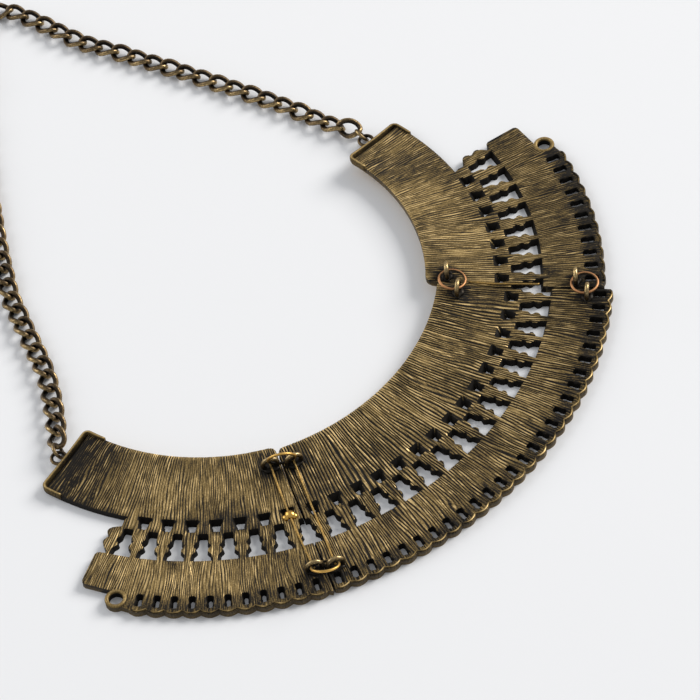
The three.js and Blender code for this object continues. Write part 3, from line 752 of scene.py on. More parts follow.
def soldered_eye(place, centre, side):
    """An eye that stands on the back, with its hole facing along the radius."""
    sizes = bpy.context.scene.necklace_sizes
    middle, angle, _ = place
    # The eye is lighter at its top and darker at its foot: partly wear, partly painted highlight and shade.
    def top_sheen_and_wear(along, around):
        return 0.45 + 0.35 * math.sin(2 * math.pi * along) + 0.2 * math.cos(2 * math.pi * around)
    ring = round_ring("eye", sizes.eye_radius, sizes.eye_wire, steps=36, sides=12, wear=top_sheen_and_wear)
    around = Matrix.Rotation(math.radians(side * angle), 4, "Z")
    spot = to_part(middle, centre, side)
    ring.data.transform(Matrix.Translation(spot) @ around @ Matrix.Rotation(math.radians(90), 4, "X"))
    foot = added(bpy.ops.mesh.primitive_uv_sphere_add, segments=28, ring_count=14, radius=1 * MM)
    points = points_of(foot) * np.array(FOOT_SIZE)
    lumps = 1 + 0.14 * np.sin(points[:, 0] / MM * 2.1 + angle) * np.cos(points[:, 1] / MM * 2.7)
    place_points(foot, points * lumps[:, None])
    set_value(foot, "worn", np.full(len(points), 0.2))
    bpy.ops.object.shade_smooth()
    low = Vector((spot.x, spot.y, spot.z - FOOT_DROP * sizes.eye_radius))
    foot.data.transform(Matrix.Translation(low) @ around)
    whole = join([ring, foot], "eye")
    give(whole, "Soldered eye")
    return whole


def back_wire(first, last, plan, centre, side, rise=0.0):
    """A straight wire soldered along the back, between two radii and angles, that rises at its ends."""
    sizes = bpy.context.scene.necklace_sizes
    path = []
    for step in range(41):
        share = step / 40
        radius = first[0] + (last[0] - first[0]) * share
        angle = first[1] + (last[1] - first[1]) * share
        lifted = rise * (math.exp(-(radius - first[0]) / 4) + math.exp(-(last[0] - radius) / 2.5))
        height = back_height(radius, plan) + 0.2 * mm("leg_wire") + lifted
        path.append(on_plate(radius, angle, height, centre, side))
    wire = tube("back_wire", path, sizes.leg_wire, sizes.leg_wire, sides=8)
    give(wire, "Golden wire")
    return wire


def eye_wire(eyes, plan, centre, side):
    """The soldered wire that joins a plate's two eyes."""
    (_, angle_in, radius_in), (_, angle_out, radius_out) = eyes
    first = radius_in - WIRE_START, angle_in
    return back_wire(first, (radius_out, angle_out), plan, centre, side, WIRE_RISE)


def flat_to_part(solid, centre, side):
    """Moves a plate from millimetres about its arc centre to the part's metres, mirrored on the left."""
    points = points_of(solid)
    moved = (points + np.array((centre[0], centre[1], 0))) * np.array((side, 1, 1))
    place_points(solid, (moved + np.array((0, ORIGIN_RADIUS, 0))) * MM)
    if side < 0:
        edit_all(solid, bpy.ops.mesh.flip_normals)


def finish_plate(plate, plan, stains, centre, side):
    """Dresses a cut plate and moves it to its place. The centre plate's side is 0."""
    dress_plate(plate, plan, stains, side)
    give_finishes(plate, plan)
    flat_to_part(plate, centre, side or 1)
    pick(plate)
    bpy.ops.object.shade_smooth_by_angle(angle=math.radians(SMOOTH_ANGLE))


def evenly(first, pitch, count):
    return [first + step * pitch for step in range(count)]


class NECKLACE_OT_centre_plate(bpy.types.Operator):
    """Models the centre plate with its eyes and back wire"""
    bl_idname = "necklace.centre_plate"
    bl_label = "Centre plate"

    def execute(self, context):
        last_rim = JOINT_ANGLE - arc_angle(CENTRE_RIM_MARGIN, CENTRE_RADII.rim_mid)
        rim_pitch = 2 * last_rim / (CENTRE_RIM_COUNT - 1)
        rim_angles = evenly(-last_rim, rim_pitch, CENTRE_RIM_COUNT)
        plate = polar_slab(
            "centre_plate_back", CENTRE_RADII, lambda r: -centre_joint_angle(r), centre_joint_angle,
            CENTRE_COLUMNS, 1)
        cutters = row_cutters(
            CENTRE_RADII,
            evenly(-CENTRE_PITCH * (CENTRE_SMALL_COUNT - 1) / 2, CENTRE_PITCH, CENTRE_SMALL_COUNT),
            evenly(-JOINT_ANGLE, CENTRE_PITCH, CENTRE_SMALL_COUNT + 1),
            rim_angles,
            rim_pitch,
            CENTRE_LEANS,
        )
        corners = []
        for side in (-1, 1):
            inward = polar(1, side * (JOINT_ANGLE - 90))
            outward = polar(1, side * JOINT_ANGLE)
            neck = polar(CENTRE_RADII.neck, side * centre_joint_angle(CENTRE_RADII.neck))
            rim = polar(CENTRE_RADII.rim, side * centre_joint_angle(CENTRE_RADII.rim))
            corners.append(corner(neck, inward, outward, NECK_CORNER))
            corners.append(corner(rim, inward, -outward, RIM_CORNER))
        cut(plate, cutters)
        cut(plate, corners)
        eyes = centre_eyes()
        stains = [(side * place[0].x, place[0].y) for place in eyes for side in (-1, 1)]
        finish_plate(plate, CENTRE_RADII, stains, (0, 0), 0)
        rings = [soldered_eye(place, (0, 0), side) for place in eyes for side in (-1, 1)]
        wire = eye_wire(eyes, CENTRE_RADII, (0, 0), -1)
        bead = rim_bead(CENTRE_RADII, rim_angles, rim_pitch, (0, 0), 1, BEAD_SHEEN_AND_WEAR[0])
        whole = join([plate, *rings, wire, bead], "centre_plate_dressed")
        finish_piece(whole, ["centre_plate"])
        return {"FINISHED"}


def rim_bead(plan, rim_angles, pitch, centre, side, brightness):
    """The fine raised edge that follows the lobes of the rim."""
    path = []
    for angle in rim_angles:
        for step in range(-4, 4):
            reach = plan.rim - BEAD_HALF_WIDTH - drawn_in(abs(step) / 4)
            height = mm("plate_thickness") - 0.5 * BEAD_HALF_WIDTH
            path.append(on_plate(reach, angle + 0.5 * pitch * step / 4, height, centre, side))

    # The bead is lighter along its top and in each lobe's middle: partly wear, partly painted highlight.
    def bead_sheen_and_wear(along, around):
        middle = math.sin(math.pi * ((along * len(path) / 8) % 1))
        uneven = 0.8 + 0.2 * math.sin(along * 61) + 0.2 * math.sin(along * 143)
        crest = math.exp(-((around * 360 - 90) / 55) ** 2)
        return 0.12 + brightness * uneven * (0.25 + 0.75 * middle) * crest
    half = BEAD_HALF_WIDTH * MM
    bead = tube("rim_bead", path[2:-1], half, half, sides=10, wear=bead_sheen_and_wear)
    give(bead, "Worn edge with painted highlight")
    return bead


def eyelet_polar(plan, last_rim):
    radius = plan.rim_mid + EYELET_OUT
    return radius, last_rim + SIDE_RIM_PITCH + arc_angle(EYELET_PAST_ROW, radius)


def eyelet_bead(plan, last_rim, centre, side):
    """The rounded rim of the eyelet at the end of the rim."""
    # The eyelet's bead is lighter on top and darker underneath: partly wear, partly painted highlight and
    # shade.
    def bead_sheen_and_wear(along, around):
        return 0.34 + 0.24 * math.sin(2 * math.pi * around)
    wire = EYELET_WALL / 2 + EYELET_SWELL
    middle = EYELET_HOLE + EYELET_WALL / 2
    bead = round_ring("eyelet", middle * MM, wire * MM, steps=48, sides=14, wear=bead_sheen_and_wear)
    height = mm("plate_thickness") - EYELET_DROP
    spot = on_plate(*eyelet_polar(plan, last_rim), height, centre, side)
    bead.data.transform(Matrix.Translation(spot))
    give(bead, "Worn edge with painted highlight")
    return bead


def tail_cutters(plan, last_bell, last_rim):
    """The cutters past the free end of a side plate's rows, and the eyelet's hole."""
    far = ARM_END + 4
    bar = []
    for knob in TAIL_BAR:
        radius = plan.bell_row + (plan.lower_band - plan.bell_row) * knob.down
        bar.append(polar(radius, last_bell + arc_angle(knob.out, radius)))
    band_end = last_bell + BAND_PAST_ROW
    eyelet_radius, eyelet_angle = eyelet_polar(plan, last_rim)
    eyelet = polar(eyelet_radius, eyelet_angle)
    across = polar(1, eyelet_angle + 90)
    outward = polar(1, eyelet_angle)
    outer = EYELET_HOLE + EYELET_WALL
    ring = []
    for step in range(19):
        turn = math.radians(-50 + step * 10)
        ring.append(eyelet + across * outer * math.cos(turn) + outward * outer * math.sin(turn))
    stub_start = last_bell + arc_angle(TAIL_STUB, ARM_RADIUS)
    arm = [polar(ARM_RADIUS, far + (stub_start - 0.5 - far) * step / 24) for step in range(25)]
    band_last = last_bell + arc_angle(TAIL_BAR[-1].out, plan.lower_band)
    outline = arm + [
        polar(ARM_RADIUS + 1.2, stub_start),
        polar(plan.bell_row - ROW_BRIDGE, last_bell + arc_angle(TAIL_STUB, plan.bell_row)),
    ] + bar + [
        polar(plan.lower_band, band_last),
        polar(plan.lower_band + 0.1, band_end - arc_angle(1.0, plan.lower_band)),
        polar(plan.lower_band + 0.35, band_end - arc_angle(0.35, plan.lower_band)),
        polar(plan.lower_band + 1.0, band_end),
        polar(plan.rim_row - 1.3, band_end),
        polar(plan.rim_row - 0.65, band_end - arc_angle(0.35, plan.rim_row)),
        polar(plan.rim_row - 0.4, band_end - arc_angle(1.0, plan.rim_row)),
    ] + ring
    last_notch = last_rim + SIDE_RIM_PITCH / 2
    outline += [polar(plan.rim - 0.8, last_notch), polar(plan.rim + 3, last_notch)]
    outline += [polar(plan.rim + 8, last_bell + (far - last_bell) * step / 3) for step in range(4)]
    hole = [eyelet + polar(EYELET_HOLE, turn) for turn in range(0, 360, 15)]
    return [prism("tail", outline), prism("eyelet_hole", hole)]


def lip_path(plan, centre, side):
    """The lip's middle line, from the neck side round the arm's end to the row side."""
    half = mm("lip_width") / 2
    neck = plan.neck - LIP_OVERHANG + half
    rows = ARM_RADIUS + LIP_OVERHANG - half
    turns = [math.radians(step * 15) for step in range(1, 6)]
    swings = [(LIP_ROUND * (1 - math.cos(turn)), LIP_ROUND * (1 - math.sin(turn))) for turn in turns]

    def end(radius, back=0.0):
        return ARM_END + arc_angle(LIP_OVERHANG - half - back, radius)
    flat = [(neck, end(neck, LIP_REACH * (1 - step / 8))) for step in range(7)]
    flat += [(neck + bend, end(neck, reach)) for bend, reach in swings]
    across = [neck + (rows - neck) * step / 12 for step in range(1, 12)]
    flat += [(radius, end(radius)) for radius in across]
    flat += [(rows - bend, end(rows, reach)) for reach, bend in swings]
    flat += [(rows, end(rows, LIP_REACH * step / 8)) for step in range(2, 9)]
    return [
        on_plate(radius, angle, back_height(radius, plan) - LIP_DROP, centre, side)
        for radius, angle in flat
    ]


def cast_ring_middle():
    radius = (SIDE_RADII.neck + ARM_RADIUS) / 2
    out = LIP_OVERHANG + mm("cast_ring_radius") - mm("cast_ring_wire") / 2
    flat = polar(radius, ARM_END + arc_angle(out, radius))
    return Vector((flat.x, flat.y, back_height(radius, SIDE_RADII) - CAST_RING_DROP))


def channel(plan):
    """The cutter of the narrow channel inside the lip of an arm's end."""
    lip = mm("lip_width")
    inner = plan.neck - LIP_OVERHANG + lip
    outer = ARM_RADIUS + LIP_OVERHANG - lip
    cutter = added(bpy.ops.mesh.primitive_cube_add, size=1)
    edit_all(cutter, lambda: bpy.ops.mesh.subdivide(number_cuts=7))
    points = []
    for x, y, z in points_of(cutter):
        radius = inner + (outer - inner) * (y + 0.5)
        end = ARM_END + arc_angle(LIP_OVERHANG - lip + CHANNEL_INSET, radius)
        spot = polar(radius, end - arc_angle(CHANNEL_WIDTH, radius) * (0.5 - x))
        rise = -CHANNEL_DEPTH if z < 0 else CUT_REACH / 2
        points.append((spot.x, spot.y, back_height(radius, plan) + rise))
    place_points(cutter, points)
    edit_all(cutter, bpy.ops.mesh.normals_make_consistent)
    return cutter


# The runs of solder that make one lumpy drop: where each lies and how big it is, in millimetres.
Run = namedtuple("Run", "across out up size")
SOLDER_RUNS = [
    Run(0.2, 0, 0.15, 1.2), Run(-1.0, 0.35, 0, 0.8), Run(0.55, -0.9, 0, 0.85),
]


def solder_drop(place, centre, side):
    """A drop of solder that has run into the first small opening, in a few rounded runs."""
    runs = []
    for run in SOLDER_RUNS:
        lump = added(bpy.ops.mesh.primitive_uv_sphere_add, segments=24, ring_count=14, radius=run.size * MM)
        points = points_of(lump) * np.array((1, 1.1, 0.8))
        points += np.array((run.across, run.out, run.up)) * MM
        place_points(lump, points + np.array(to_part(place, centre, side)))
        set_value(lump, "worn", np.ones(len(points)))
        bpy.ops.object.shade_smooth()
        runs.append(lump)
    drop = join(runs, "solder_drop")
    give(drop, "Golden solder")
    return drop


def side_plate(side, centre, name):
    """Models one side plate, its eyes, lip, cast ring and soldered wire."""
    sizes = bpy.context.scene.necklace_sizes
    plan = SIDE_RADII
    row_start = side_joint_angle(plan.bell_row, centre)
    small_angles = evenly(row_start + SIDE_PITCH / 2, SIDE_PITCH, SIDE_SMALL_COUNT)
    bell_angles = evenly(row_start, SIDE_PITCH, SIDE_SMALL_COUNT + 1)
    first_rim = side_joint_angle(plan.rim_mid, centre) + arc_angle(SIDE_RIM_MARGIN, plan.rim_mid)
    rim_angles = evenly(first_rim, SIDE_RIM_PITCH, SIDE_RIM_COUNT)
    plate = polar_slab(
        name, plan, lambda r: side_joint_angle(r, centre), lambda r: ARM_END, SIDE_COLUMNS, 0)
    leans = RIGHT_LEANS if side > 0 else LEFT_LEANS
    cutters = row_cutters(plan, small_angles, bell_angles, rim_angles, SIDE_RIM_PITCH, leans)
    away = polar(1, JOINT_ANGLE + 90)
    outward = polar(1, JOINT_ANGLE)
    neck = polar(plan.neck, side_joint_angle(plan.neck, centre))
    rim = polar(plan.rim, side_joint_angle(plan.rim, centre))
    end_in = polar(1, ARM_END - 90)
    end_out = polar(1, ARM_END)
    cut(plate, cutters)
    cut(plate, tail_cutters(plan, bell_angles[-1], rim_angles[-1]))
    cut(plate, [
        corner(neck, away, outward, NECK_CORNER),
        corner(rim, away, -outward, RIM_CORNER),
        corner(polar(plan.neck, ARM_END), end_in, end_out, ARM_CORNER),
        corner(polar(ARM_RADIUS, ARM_END), end_in, -end_out, ARM_CORNER),
    ])
    cut(plate, [channel(plan)])
    eyes = side_eyes(centre)
    finish_plate(plate, plan, [place[0].xy for place in eyes], centre, side)

    # The lip's top carries a thin lighter line: partly wear, partly painted highlight.
    def edge_sheen_and_wear(along, around):
        return 0.3 + 0.42 * math.exp(-((around * 360 - 90) / 20) ** 2)
    path = lip_path(plan, centre, side)
    lip = tube(
        "lip", path, sizes.lip_width / 2, LIP_HALF_HEIGHT * MM, LIP_SQUARENESS, 20, edge_sheen_and_wear)
    give(lip, "Worn edge with painted highlight")
    ring = round_ring("cast_ring", sizes.cast_ring_radius, sizes.cast_ring_wire, wear=link_wear)
    ring.data.transform(Matrix.Translation(to_part(cast_ring_middle(), centre, side)))
    give(ring, "Chain brass")
    rings = [soldered_eye(place, centre, side) for place in eyes]
    if side < 0:
        wire = eye_wire(eyes, plan, centre, side)
        (_, angle_in, radius_in), (_, angle_out, radius_out) = eyes
        radius = plan.small_row + SOLDER_DOWN * SMALL_ROW
        share = (radius - radius_in) / (radius_out - radius_in)
        flat = polar(radius, angle_in + (angle_out - angle_in) * share)
        drop = solder_drop((flat.x, flat.y, mm("plate_thickness")), centre, side)
        extras = [wire, drop]
    else:
        def edge(radius):
            return radius, side_joint_angle(radius, centre) + arc_angle(EDGE_WIRE_IN, radius)
        ends = edge(plan.neck + EDGE_WIRE_START), edge(plan.lower_band - EDGE_WIRE_STOP)
        extras = [back_wire(*ends, plan, centre, side)]
    bead = eyelet_bead(plan, rim_angles[-1], centre, side)
    edge_bead = rim_bead(plan, rim_angles, SIDE_RIM_PITCH, centre, side, BEAD_SHEEN_AND_WEAR[side])
    return join([plate, lip, ring, bead, edge_bead, *rings, *extras], name)


class NECKLACE_OT_side_plates(bpy.types.Operator):
    """Models the left and right plates with their arms"""
    bl_idname = "necklace.side_plates"
    bl_label = "Side plates"

    def execute(self, context):
        left = side_plate(-1, LEFT_CENTRE, "left_plate_dressed")
        finish_piece(left, ["left_plate"])
        right = side_plate(1, RIGHT_CENTRE, "right_plate_dressed")
        finish_piece(right, ["right_plate"])
        return {"FINISHED"}


class NECKLACE_OT_jump_rings(bpy.types.Operator):
    """Models the four open rings that join the plates"""
    bl_idname = "necklace.jump_rings"
    bl_label = "Jump rings"

    def execute(self, context):
        sizes = context.scene.necklace_sizes
        for name, hang in RING_HANGS.items():
            side = -1 if "left" in name else 1
            centre = LEFT_CENTRE if side < 0 else RIGHT_CENTRE
            row = 0 if "inner" in name else 1
            first = to_part(centre_eyes()[row][0], (0, 0), side)
            second = to_part(side_eyes(centre)[row][0], centre, side)
            half = (second - first) / 2
            middle = first + half - Vector((0, 0, hang.drop * MM))
            chord = half.normalized()
            level = Vector((-chord.y, chord.x, 0)).normalized() * -side
            lean = math.radians(hang.lean)
            outward = level * math.cos(lean) + Vector((0, 0, 1)) * math.sin(lean)
            reach = sizes.jump_ring_radius - RING_SLACK * MM
            shift = math.sqrt(max(0.0, reach ** 2 - half.length_squared))
            normal = chord.cross(outward)
            turn = Matrix((chord, outward, normal)).transposed().to_4x4()
            ring = round_ring(name + "_wire", sizes.jump_ring_radius, sizes.jump_ring_wire, steps=56)
            ring.data.transform(Matrix.Translation(middle + outward * shift) @ turn)
            give(ring, "Golden wire" if side < 0 else "Coppery ring")
            finish_piece(ring, [name])
        return {"FINISHED"}


# Chains.


def smooth_route(points, steps=60):
    """Points close together on a smooth curve through the given ones, with their lengths along it."""
    route = [np.array(point, dtype=float) for point in points]
    route = [2 * route[0] - route[1], *route, 2 * route[-1] - route[-2]]
    found = [route[1]]
    for a, b, c, d in zip(route, route[1:], route[2:], route[3:]):
        first, second, third = (math.sqrt(np.linalg.norm(q - p)) for p, q in ((a, b), (b, c), (c, d)))
        leave = ((b - a) / first - (c - a) / (first + second) + (c - b) / second) * second
        arrive = ((c - b) / second - (d - b) / (second + third) + (d - c) / third) * second
        for step in range(1, steps + 1):
            t = step / steps
            found.append(
                b + leave * t + (3 * (c - b) - 2 * leave - arrive) * t ** 2
                + (2 * (b - c) + leave + arrive) * t ** 3)
    found = np.array(found)
    lengths = np.concatenate(([0], np.cumsum(np.linalg.norm(np.diff(found, axis=0), axis=1))))
    return found, lengths


def curb_link(half_length):
    """One curb link along X about the origin: a wire bent to an oval, then twisted along its length."""
    sizes = bpy.context.scene.necklace_sizes
    wire = sizes.link_wire
    half_width = LINK_HALF_WIDTH * MM

    def place(along, around):
        turn = 2 * math.pi * along
        bend = 2 * math.pi * around
        centre = Vector((half_length * math.cos(turn), half_width * math.sin(turn)))
        outward = Vector((centre.x / half_length ** 2, centre.y / half_width ** 2)).normalized()
        flat = centre + outward * (wire * math.cos(bend))
        point = Vector((flat.x, flat.y, wire * math.sin(bend)))
        point.rotate(Matrix.Rotation(math.radians(LINK_TWIST) * math.cos(turn), 3, "X"))
        return point
    return wrapped_wire("link", sizes.link_steps, 10, place, link_wear, closed=True)


def along_route(place, direction, roll):
    """The matrix that lays a shape from X along a direction, rolled about it."""
    direction = Vector(direction).normalized()
    across = Vector((0, 0, 1)).cross(direction).normalized()
    up = direction.cross(across)
    turn = Matrix((direction, across, up)).transposed().to_4x4()
    return Matrix.Translation(place) @ turn @ Matrix.Rotation(math.radians(roll), 4, "X")


def ring_lift(roll):
    sizes = bpy.context.scene.necklace_sizes
    wire = sizes.cast_ring_wire
    return math.sin(math.radians(roll)) * sizes.end_ring_radius + wire + REST_CLEARANCE * MM


def clasp_place():
    """The clasp's middle, its direction, and how far each end ring lies from its middle."""
    turn = math.radians(CLASP_TURN)
    middle = Vector((CLASP_CENTRE[0] * MM, (CLASP_CENTRE[1] + ORIGIN_RADIUS) * MM, ring_lift(CLASP_ROLL)))
    return middle, Vector((math.cos(turn), math.sin(turn), 0)), (CLASP_LENGTH - CLASP_WALL) / 2 * MM


def chain(side, centre, route, name):
    """Models one chain: a ring in the cast ring, the links, and a ring at the clasp."""
    sizes = bpy.context.scene.necklace_sizes
    flat_step = math.cos(math.pi / 5)
    step_reach = math.cos(math.pi / 10)
    wire = mm("link_wire")
    end_wire = mm("cast_ring_wire")
    end_radius = mm("end_ring_radius")
    link_reach = LINK_PITCH / 2 + wire * flat_step - LINK_PRESS / 2
    start = to_part(cast_ring_middle(), centre, side)
    middle, direction, reach = clasp_place()
    end = middle + direction * (side * reach)
    points = [start.xy / MM] + [(x, y + ORIGIN_RADIUS) for x, y in route] + [end.xy / MM]
    found, lengths = smooth_route(points)
    seat = mm("cast_ring_radius") * step_reach - 2 * end_wire - SEAT_GAP
    first_ring = seat + end_radius * step_reach
    hold = end_radius * step_reach + link_reach + LINK_PRESS - (wire + end_wire) * flat_step
    room = lengths[-1] - first_ring - 2 * hold
    count = round(room / LINK_PITCH) + 1
    pitch = room / (count - 1)
    link = curb_link(link_reach / step_reach * MM)
    low = max(vertex.co.z for vertex in link.data.vertices)

    def at(length):
        place = [np.interp(length, lengths, found[:, axis]) for axis in (0, 1)]
        ahead = [np.interp(length + 0.2, lengths, found[:, axis]) for axis in (0, 1)]
        behind = [np.interp(length - 0.2, lengths, found[:, axis]) for axis in (0, 1)]
        raised = (start.z - low) * math.exp(-length / SETTLE_LENGTH)
        slope = -raised / MM / SETTLE_LENGTH
        flat = Vector((ahead[0] - behind[0], ahead[1] - behind[1], 0)).normalized()
        return Vector((place[0] * MM, place[1] * MM, low + raised)), flat + Vector((0, 0, slope))
    ring = round_ring("end_ring", sizes.end_ring_radius, sizes.cast_ring_wire, wear=link_wear)
    place, heading = at(first_ring)
    place.z = max(place.z, ring_lift(START_ROLL))
    pieces = [copy_of(ring, along_route(place, heading, START_ROLL))]
    for step in range(count):
        place, heading = at(first_ring + hold + step * pitch)
        roll = -LINK_SWAY * math.sin(2.3 * step + side)
        roll -= FIRST_TURN * math.exp(-step / 1.2) * math.cos(2.1 * step)
        place.z += TURN_LIFT * MM * abs(roll)
        pieces.append(copy_of(link, along_route(place, heading, roll)))
    pieces.append(copy_of(ring, along_route(end, direction * -side, CLASP_ROLL)))
    for model in (ring, link):
        bpy.data.objects.remove(model)
    whole = join(pieces, name)
    give(whole, "Chain brass")
    return whole


class NECKLACE_OT_chains(bpy.types.Operator):
    """Models both chains, link by link"""
    bl_idname = "necklace.chains"
    bl_label = "Chains"

    def execute(self, context):
        left = chain(-1, LEFT_CENTRE, LEFT_ROUTE, "chain_left_links")
        finish_piece(left, ["chain_left"])
        right = chain(1, RIGHT_CENTRE, RIGHT_ROUTE, "chain_right_links")
        finish_piece(right, ["chain_right"])
        return {"FINISHED"}


class NECKLACE_OT_clasp(bpy.types.Operator):
    """Models the plain clasp between the chains' end rings"""
    bl_idname = "necklace.clasp"
    bl_label = "Clasp"

    def execute(self, context):
        half = CLASP_WIDTH / 2 - CLASP_WALL / 2
        wall = CLASP_WALL / 2
        end_x = CLASP_LENGTH / 2 - wall - half
        eye_radius = CLASP_EYE + wall
        eye_x = -CLASP_LENGTH / 2 + wall + eye_radius
        back_x = eye_x + eye_radius + half

        def loop(along, around):
            turn = 2 * math.pi * along
            bend = 2 * math.pi * around
            reach = half + wall * math.cos(bend)
            middle = end_x if math.cos(turn) > 0 else back_x
            place = (middle + reach * math.cos(turn), reach * math.sin(turn), wall * math.sin(bend))
            return Vector(place) * MM
        frame_loop = wrapped_wire("clasp_loop", 48, 12, loop, outer_wear, closed=True)
        eye = round_ring("clasp_eye", eye_radius * MM, wall * MM)
        eye.data.transform(Matrix.Translation((eye_x * MM, 0, 0)))
        whole = join([frame_loop, eye], "clasp_body")
        middle, direction, _ = clasp_place()
        whole.data.transform(along_route(middle, direction, 0))
        give(whole, "Chain brass")
        finish_piece(whole, ["clasp"])
        return {"FINISHED"}


# Finishes.


Finish = namedtuple("Finish", "dark body bright metallic bump wear_share polish")
FINISHES = {
    "Cast brass": Finish("groove", "body", "ridge", 0.75, 0.5, 1.0, 0.0),
    "Outer wall": Finish("groove", "wall", "body", 0.5, 0.5, 0.75, 0.0),
    # The openings' walls are near-black all over: antiquing and painted shade inside the openings.
    "Opening wall in painted shade": Finish("groove", "groove", "groove", 0.8, 0.5, 0.7, 0.0),
    # Worn edge: the beads and the lip, lighter along their tops with wear and painted highlight.
    "Worn edge with painted highlight": Finish("groove", "body", "ridge", 0.8, 0.3, 1.0, 0.0),
    "Soldered eye": Finish("groove", "wall", "ridge", 0.85, 0.3, 0.75, 0.2),
    "Golden wire": Finish("groove", "body", "wire", 0.85, 0.15, 1.0, 0.0),
    "Golden solder": Finish("body", "wire", "wire", 1.0, 0.1, 1.0, 0.12),
    "Coppery ring": Finish("wall", "copper", "copper", 0.9, 0.15, 1.0, 0.0),
    "Chain brass": Finish("groove", "chain", "ridge", 0.9, 0.15, 1.0, 0.24),
}


class Tree:
    """Adds nodes to a material or a node group, and links them."""

    def __init__(self, tree):
        self.nodes = tree.nodes
        self.links = tree.links

    def put(self, value, socket):
        """Links an output into a socket, or sets the socket to a plain value."""
        if isinstance(value, bpy.types.NodeSocket):
            self.links.new(value, socket)
        else:
            socket.default_value = value

    def add(self, kind, inputs, **settings):
        node = self.nodes.new("ShaderNode" + kind)
        for name, value in settings.items():
            setattr(node, name, value)
        for name, value in inputs.items():
            self.put(value, node.inputs[name])
        return node

    def math(self, operation, first, second):
        inputs = {0: first, 1: second}
        return self.add("Math", inputs, operation=operation, use_clamp=True).outputs[0]

    def noise(self, scale, detail, place=None):
        """Noise over the piece's own coordinates, or over the given place."""
        if place is None:
            place = self.add("TexCoord", {}).outputs["Object"]
        inputs = {"Vector": place, "Scale": scale, "Detail": detail}
        return self.add("TexNoise", inputs).outputs["Fac"]

    def mix(self, share, first, second):
        inputs = {"Factor": share, "A": first, "B": second}
        return self.add("Mix", inputs, data_type="RGBA").outputs["Result"]

    def ramp(self, value, low, high):
        inputs = {"Value": value, "From Min": low, "From Max": high}
        return self.add("MapRange", inputs, interpolation_type="SMOOTHSTEP").outputs["Result"]

    def attribute(self, name, output="Fac"):
        return self.add("Attribute", {}, attribute_name=name).outputs[output]


def colour_of(name):
    return (*getattr(bpy.context.scene.necklace_colours, name), 1)


def patina_group():
    """Aged metal: dark in the hollows, brown on the body, bright where it is worn. Its Worn input also
    carries the painted glints, highlights and shade.
    """
    found = bpy.data.node_groups.get("Patina")
    if found:
        return found
    group = bpy.data.node_groups.new("Patina", "ShaderNodeTree")
    for way, kind, names in (
        ("INPUT", "Float", ("Worn", "Rim", "Stain")), ("INPUT", "Color", ("Dark", "Body", "Bright")),
        ("OUTPUT", "Color", ("Colour",)), ("OUTPUT", "Float", ("Roughness", "Height")),
    ):
        for name in names:
            group.interface.new_socket(name=name, in_out=way, socket_type="NodeSocket" + kind)
    inside = group.nodes.new("NodeGroupInput").outputs
    outside = group.nodes.new("NodeGroupOutput").inputs
    tree = Tree(group)
    grain = tree.noise(2600, 4)
    tarnish = tree.ramp(tree.noise(160, 3), 0.35, 0.72)
    # Rim lightens a thin line along the back's edges: partly edge wear, partly painted highlight.
    worn = tree.math("ADD", inside["Worn"], tree.math("MULTIPLY", inside["Rim"], 0.2))
    worn = tree.math("SUBTRACT", worn, tree.math("MULTIPLY", tarnish, 0.12))
    worn = tree.math("ADD", worn, tree.math("MULTIPLY", tree.ramp(grain, 0.45, 0.7), 0.16))
    worn = tree.math("SUBTRACT", worn, tree.math("MULTIPLY", inside["Stain"], 0.6))
    body = tree.mix(tree.ramp(worn, 0.12, 0.5), inside["Dark"], inside["Body"])
    smoothed = tree.math("MULTIPLY", tree.ramp(worn, 0.3, 1.0), 0.26)
    tree.put(tree.mix(tree.ramp(worn, 0.45, 0.95), body, inside["Bright"]), outside["Colour"])
    tree.put(tree.math("SUBTRACT", 0.66, smoothed), outside["Roughness"])
    tree.put(grain, outside["Height"])
    return group


def aged_metal(name):
    """A metal with the patina: its three colours, its share of the wear, and how much smoother it is."""
    found = bpy.data.materials.get(name)
    if found:
        return found
    finish = FINISHES[name]
    material = bpy.data.materials.new(name)
    material.use_nodes = True
    tree = Tree(material.node_tree)
    worn = tree.attribute("worn")
    if finish.wear_share != 1.0:
        share = {0: worn, 1: finish.wear_share}
        worn = tree.add("Math", share, operation="MULTIPLY").outputs[0]
    if name == "Cast brass":
        worn = tree.math("ADD", worn, streaks(tree))
    patina = tree.nodes.new("ShaderNodeGroup")
    patina.node_tree = patina_group()
    for socket, value in (
        ("Worn", worn), ("Rim", tree.attribute("rim")), ("Stain", tree.attribute("stain")),
        ("Dark", colour_of(finish.dark)), ("Body", colour_of(finish.body)),
        ("Bright", colour_of(finish.bright)),
    ):
        tree.put(value, patina.inputs[socket])
    smoother = {0: patina.outputs["Roughness"], 1: finish.polish}
    hollow = {"Height": patina.outputs["Height"], "Strength": finish.bump, "Distance": 0.05 * MM}
    shader = tree.nodes["Principled BSDF"].inputs
    tree.put(patina.outputs["Colour"], shader["Base Color"])
    tree.put(tree.add("Math", smoother, operation="SUBTRACT").outputs[0], shader["Roughness"])
    tree.put(finish.metallic, shader["Metallic"])
    tree.put(tree.add("Bump", hollow).outputs["Normal"], shader["Normal"])
    return material


def streaks(tree):
    """Fine streaks that follow the grooves of a plate's back, lighter and darker than the rest."""
    stretched = {"Vector": tree.attribute("strokes", "Vector"), "Scale": (5.5, 0.28, 1)}
    place = tree.add("Mapping", stretched).outputs["Vector"]
    centred = {0: tree.noise(1, 3, place), 1: 1.2, 2: -0.6}
    return tree.add("Math", centred, operation="MULTIPLY_ADD").outputs[0]


def give(piece, name):
    """Gives a piece one of the metal finishes."""
    piece.data.materials.append(aged_metal(name))


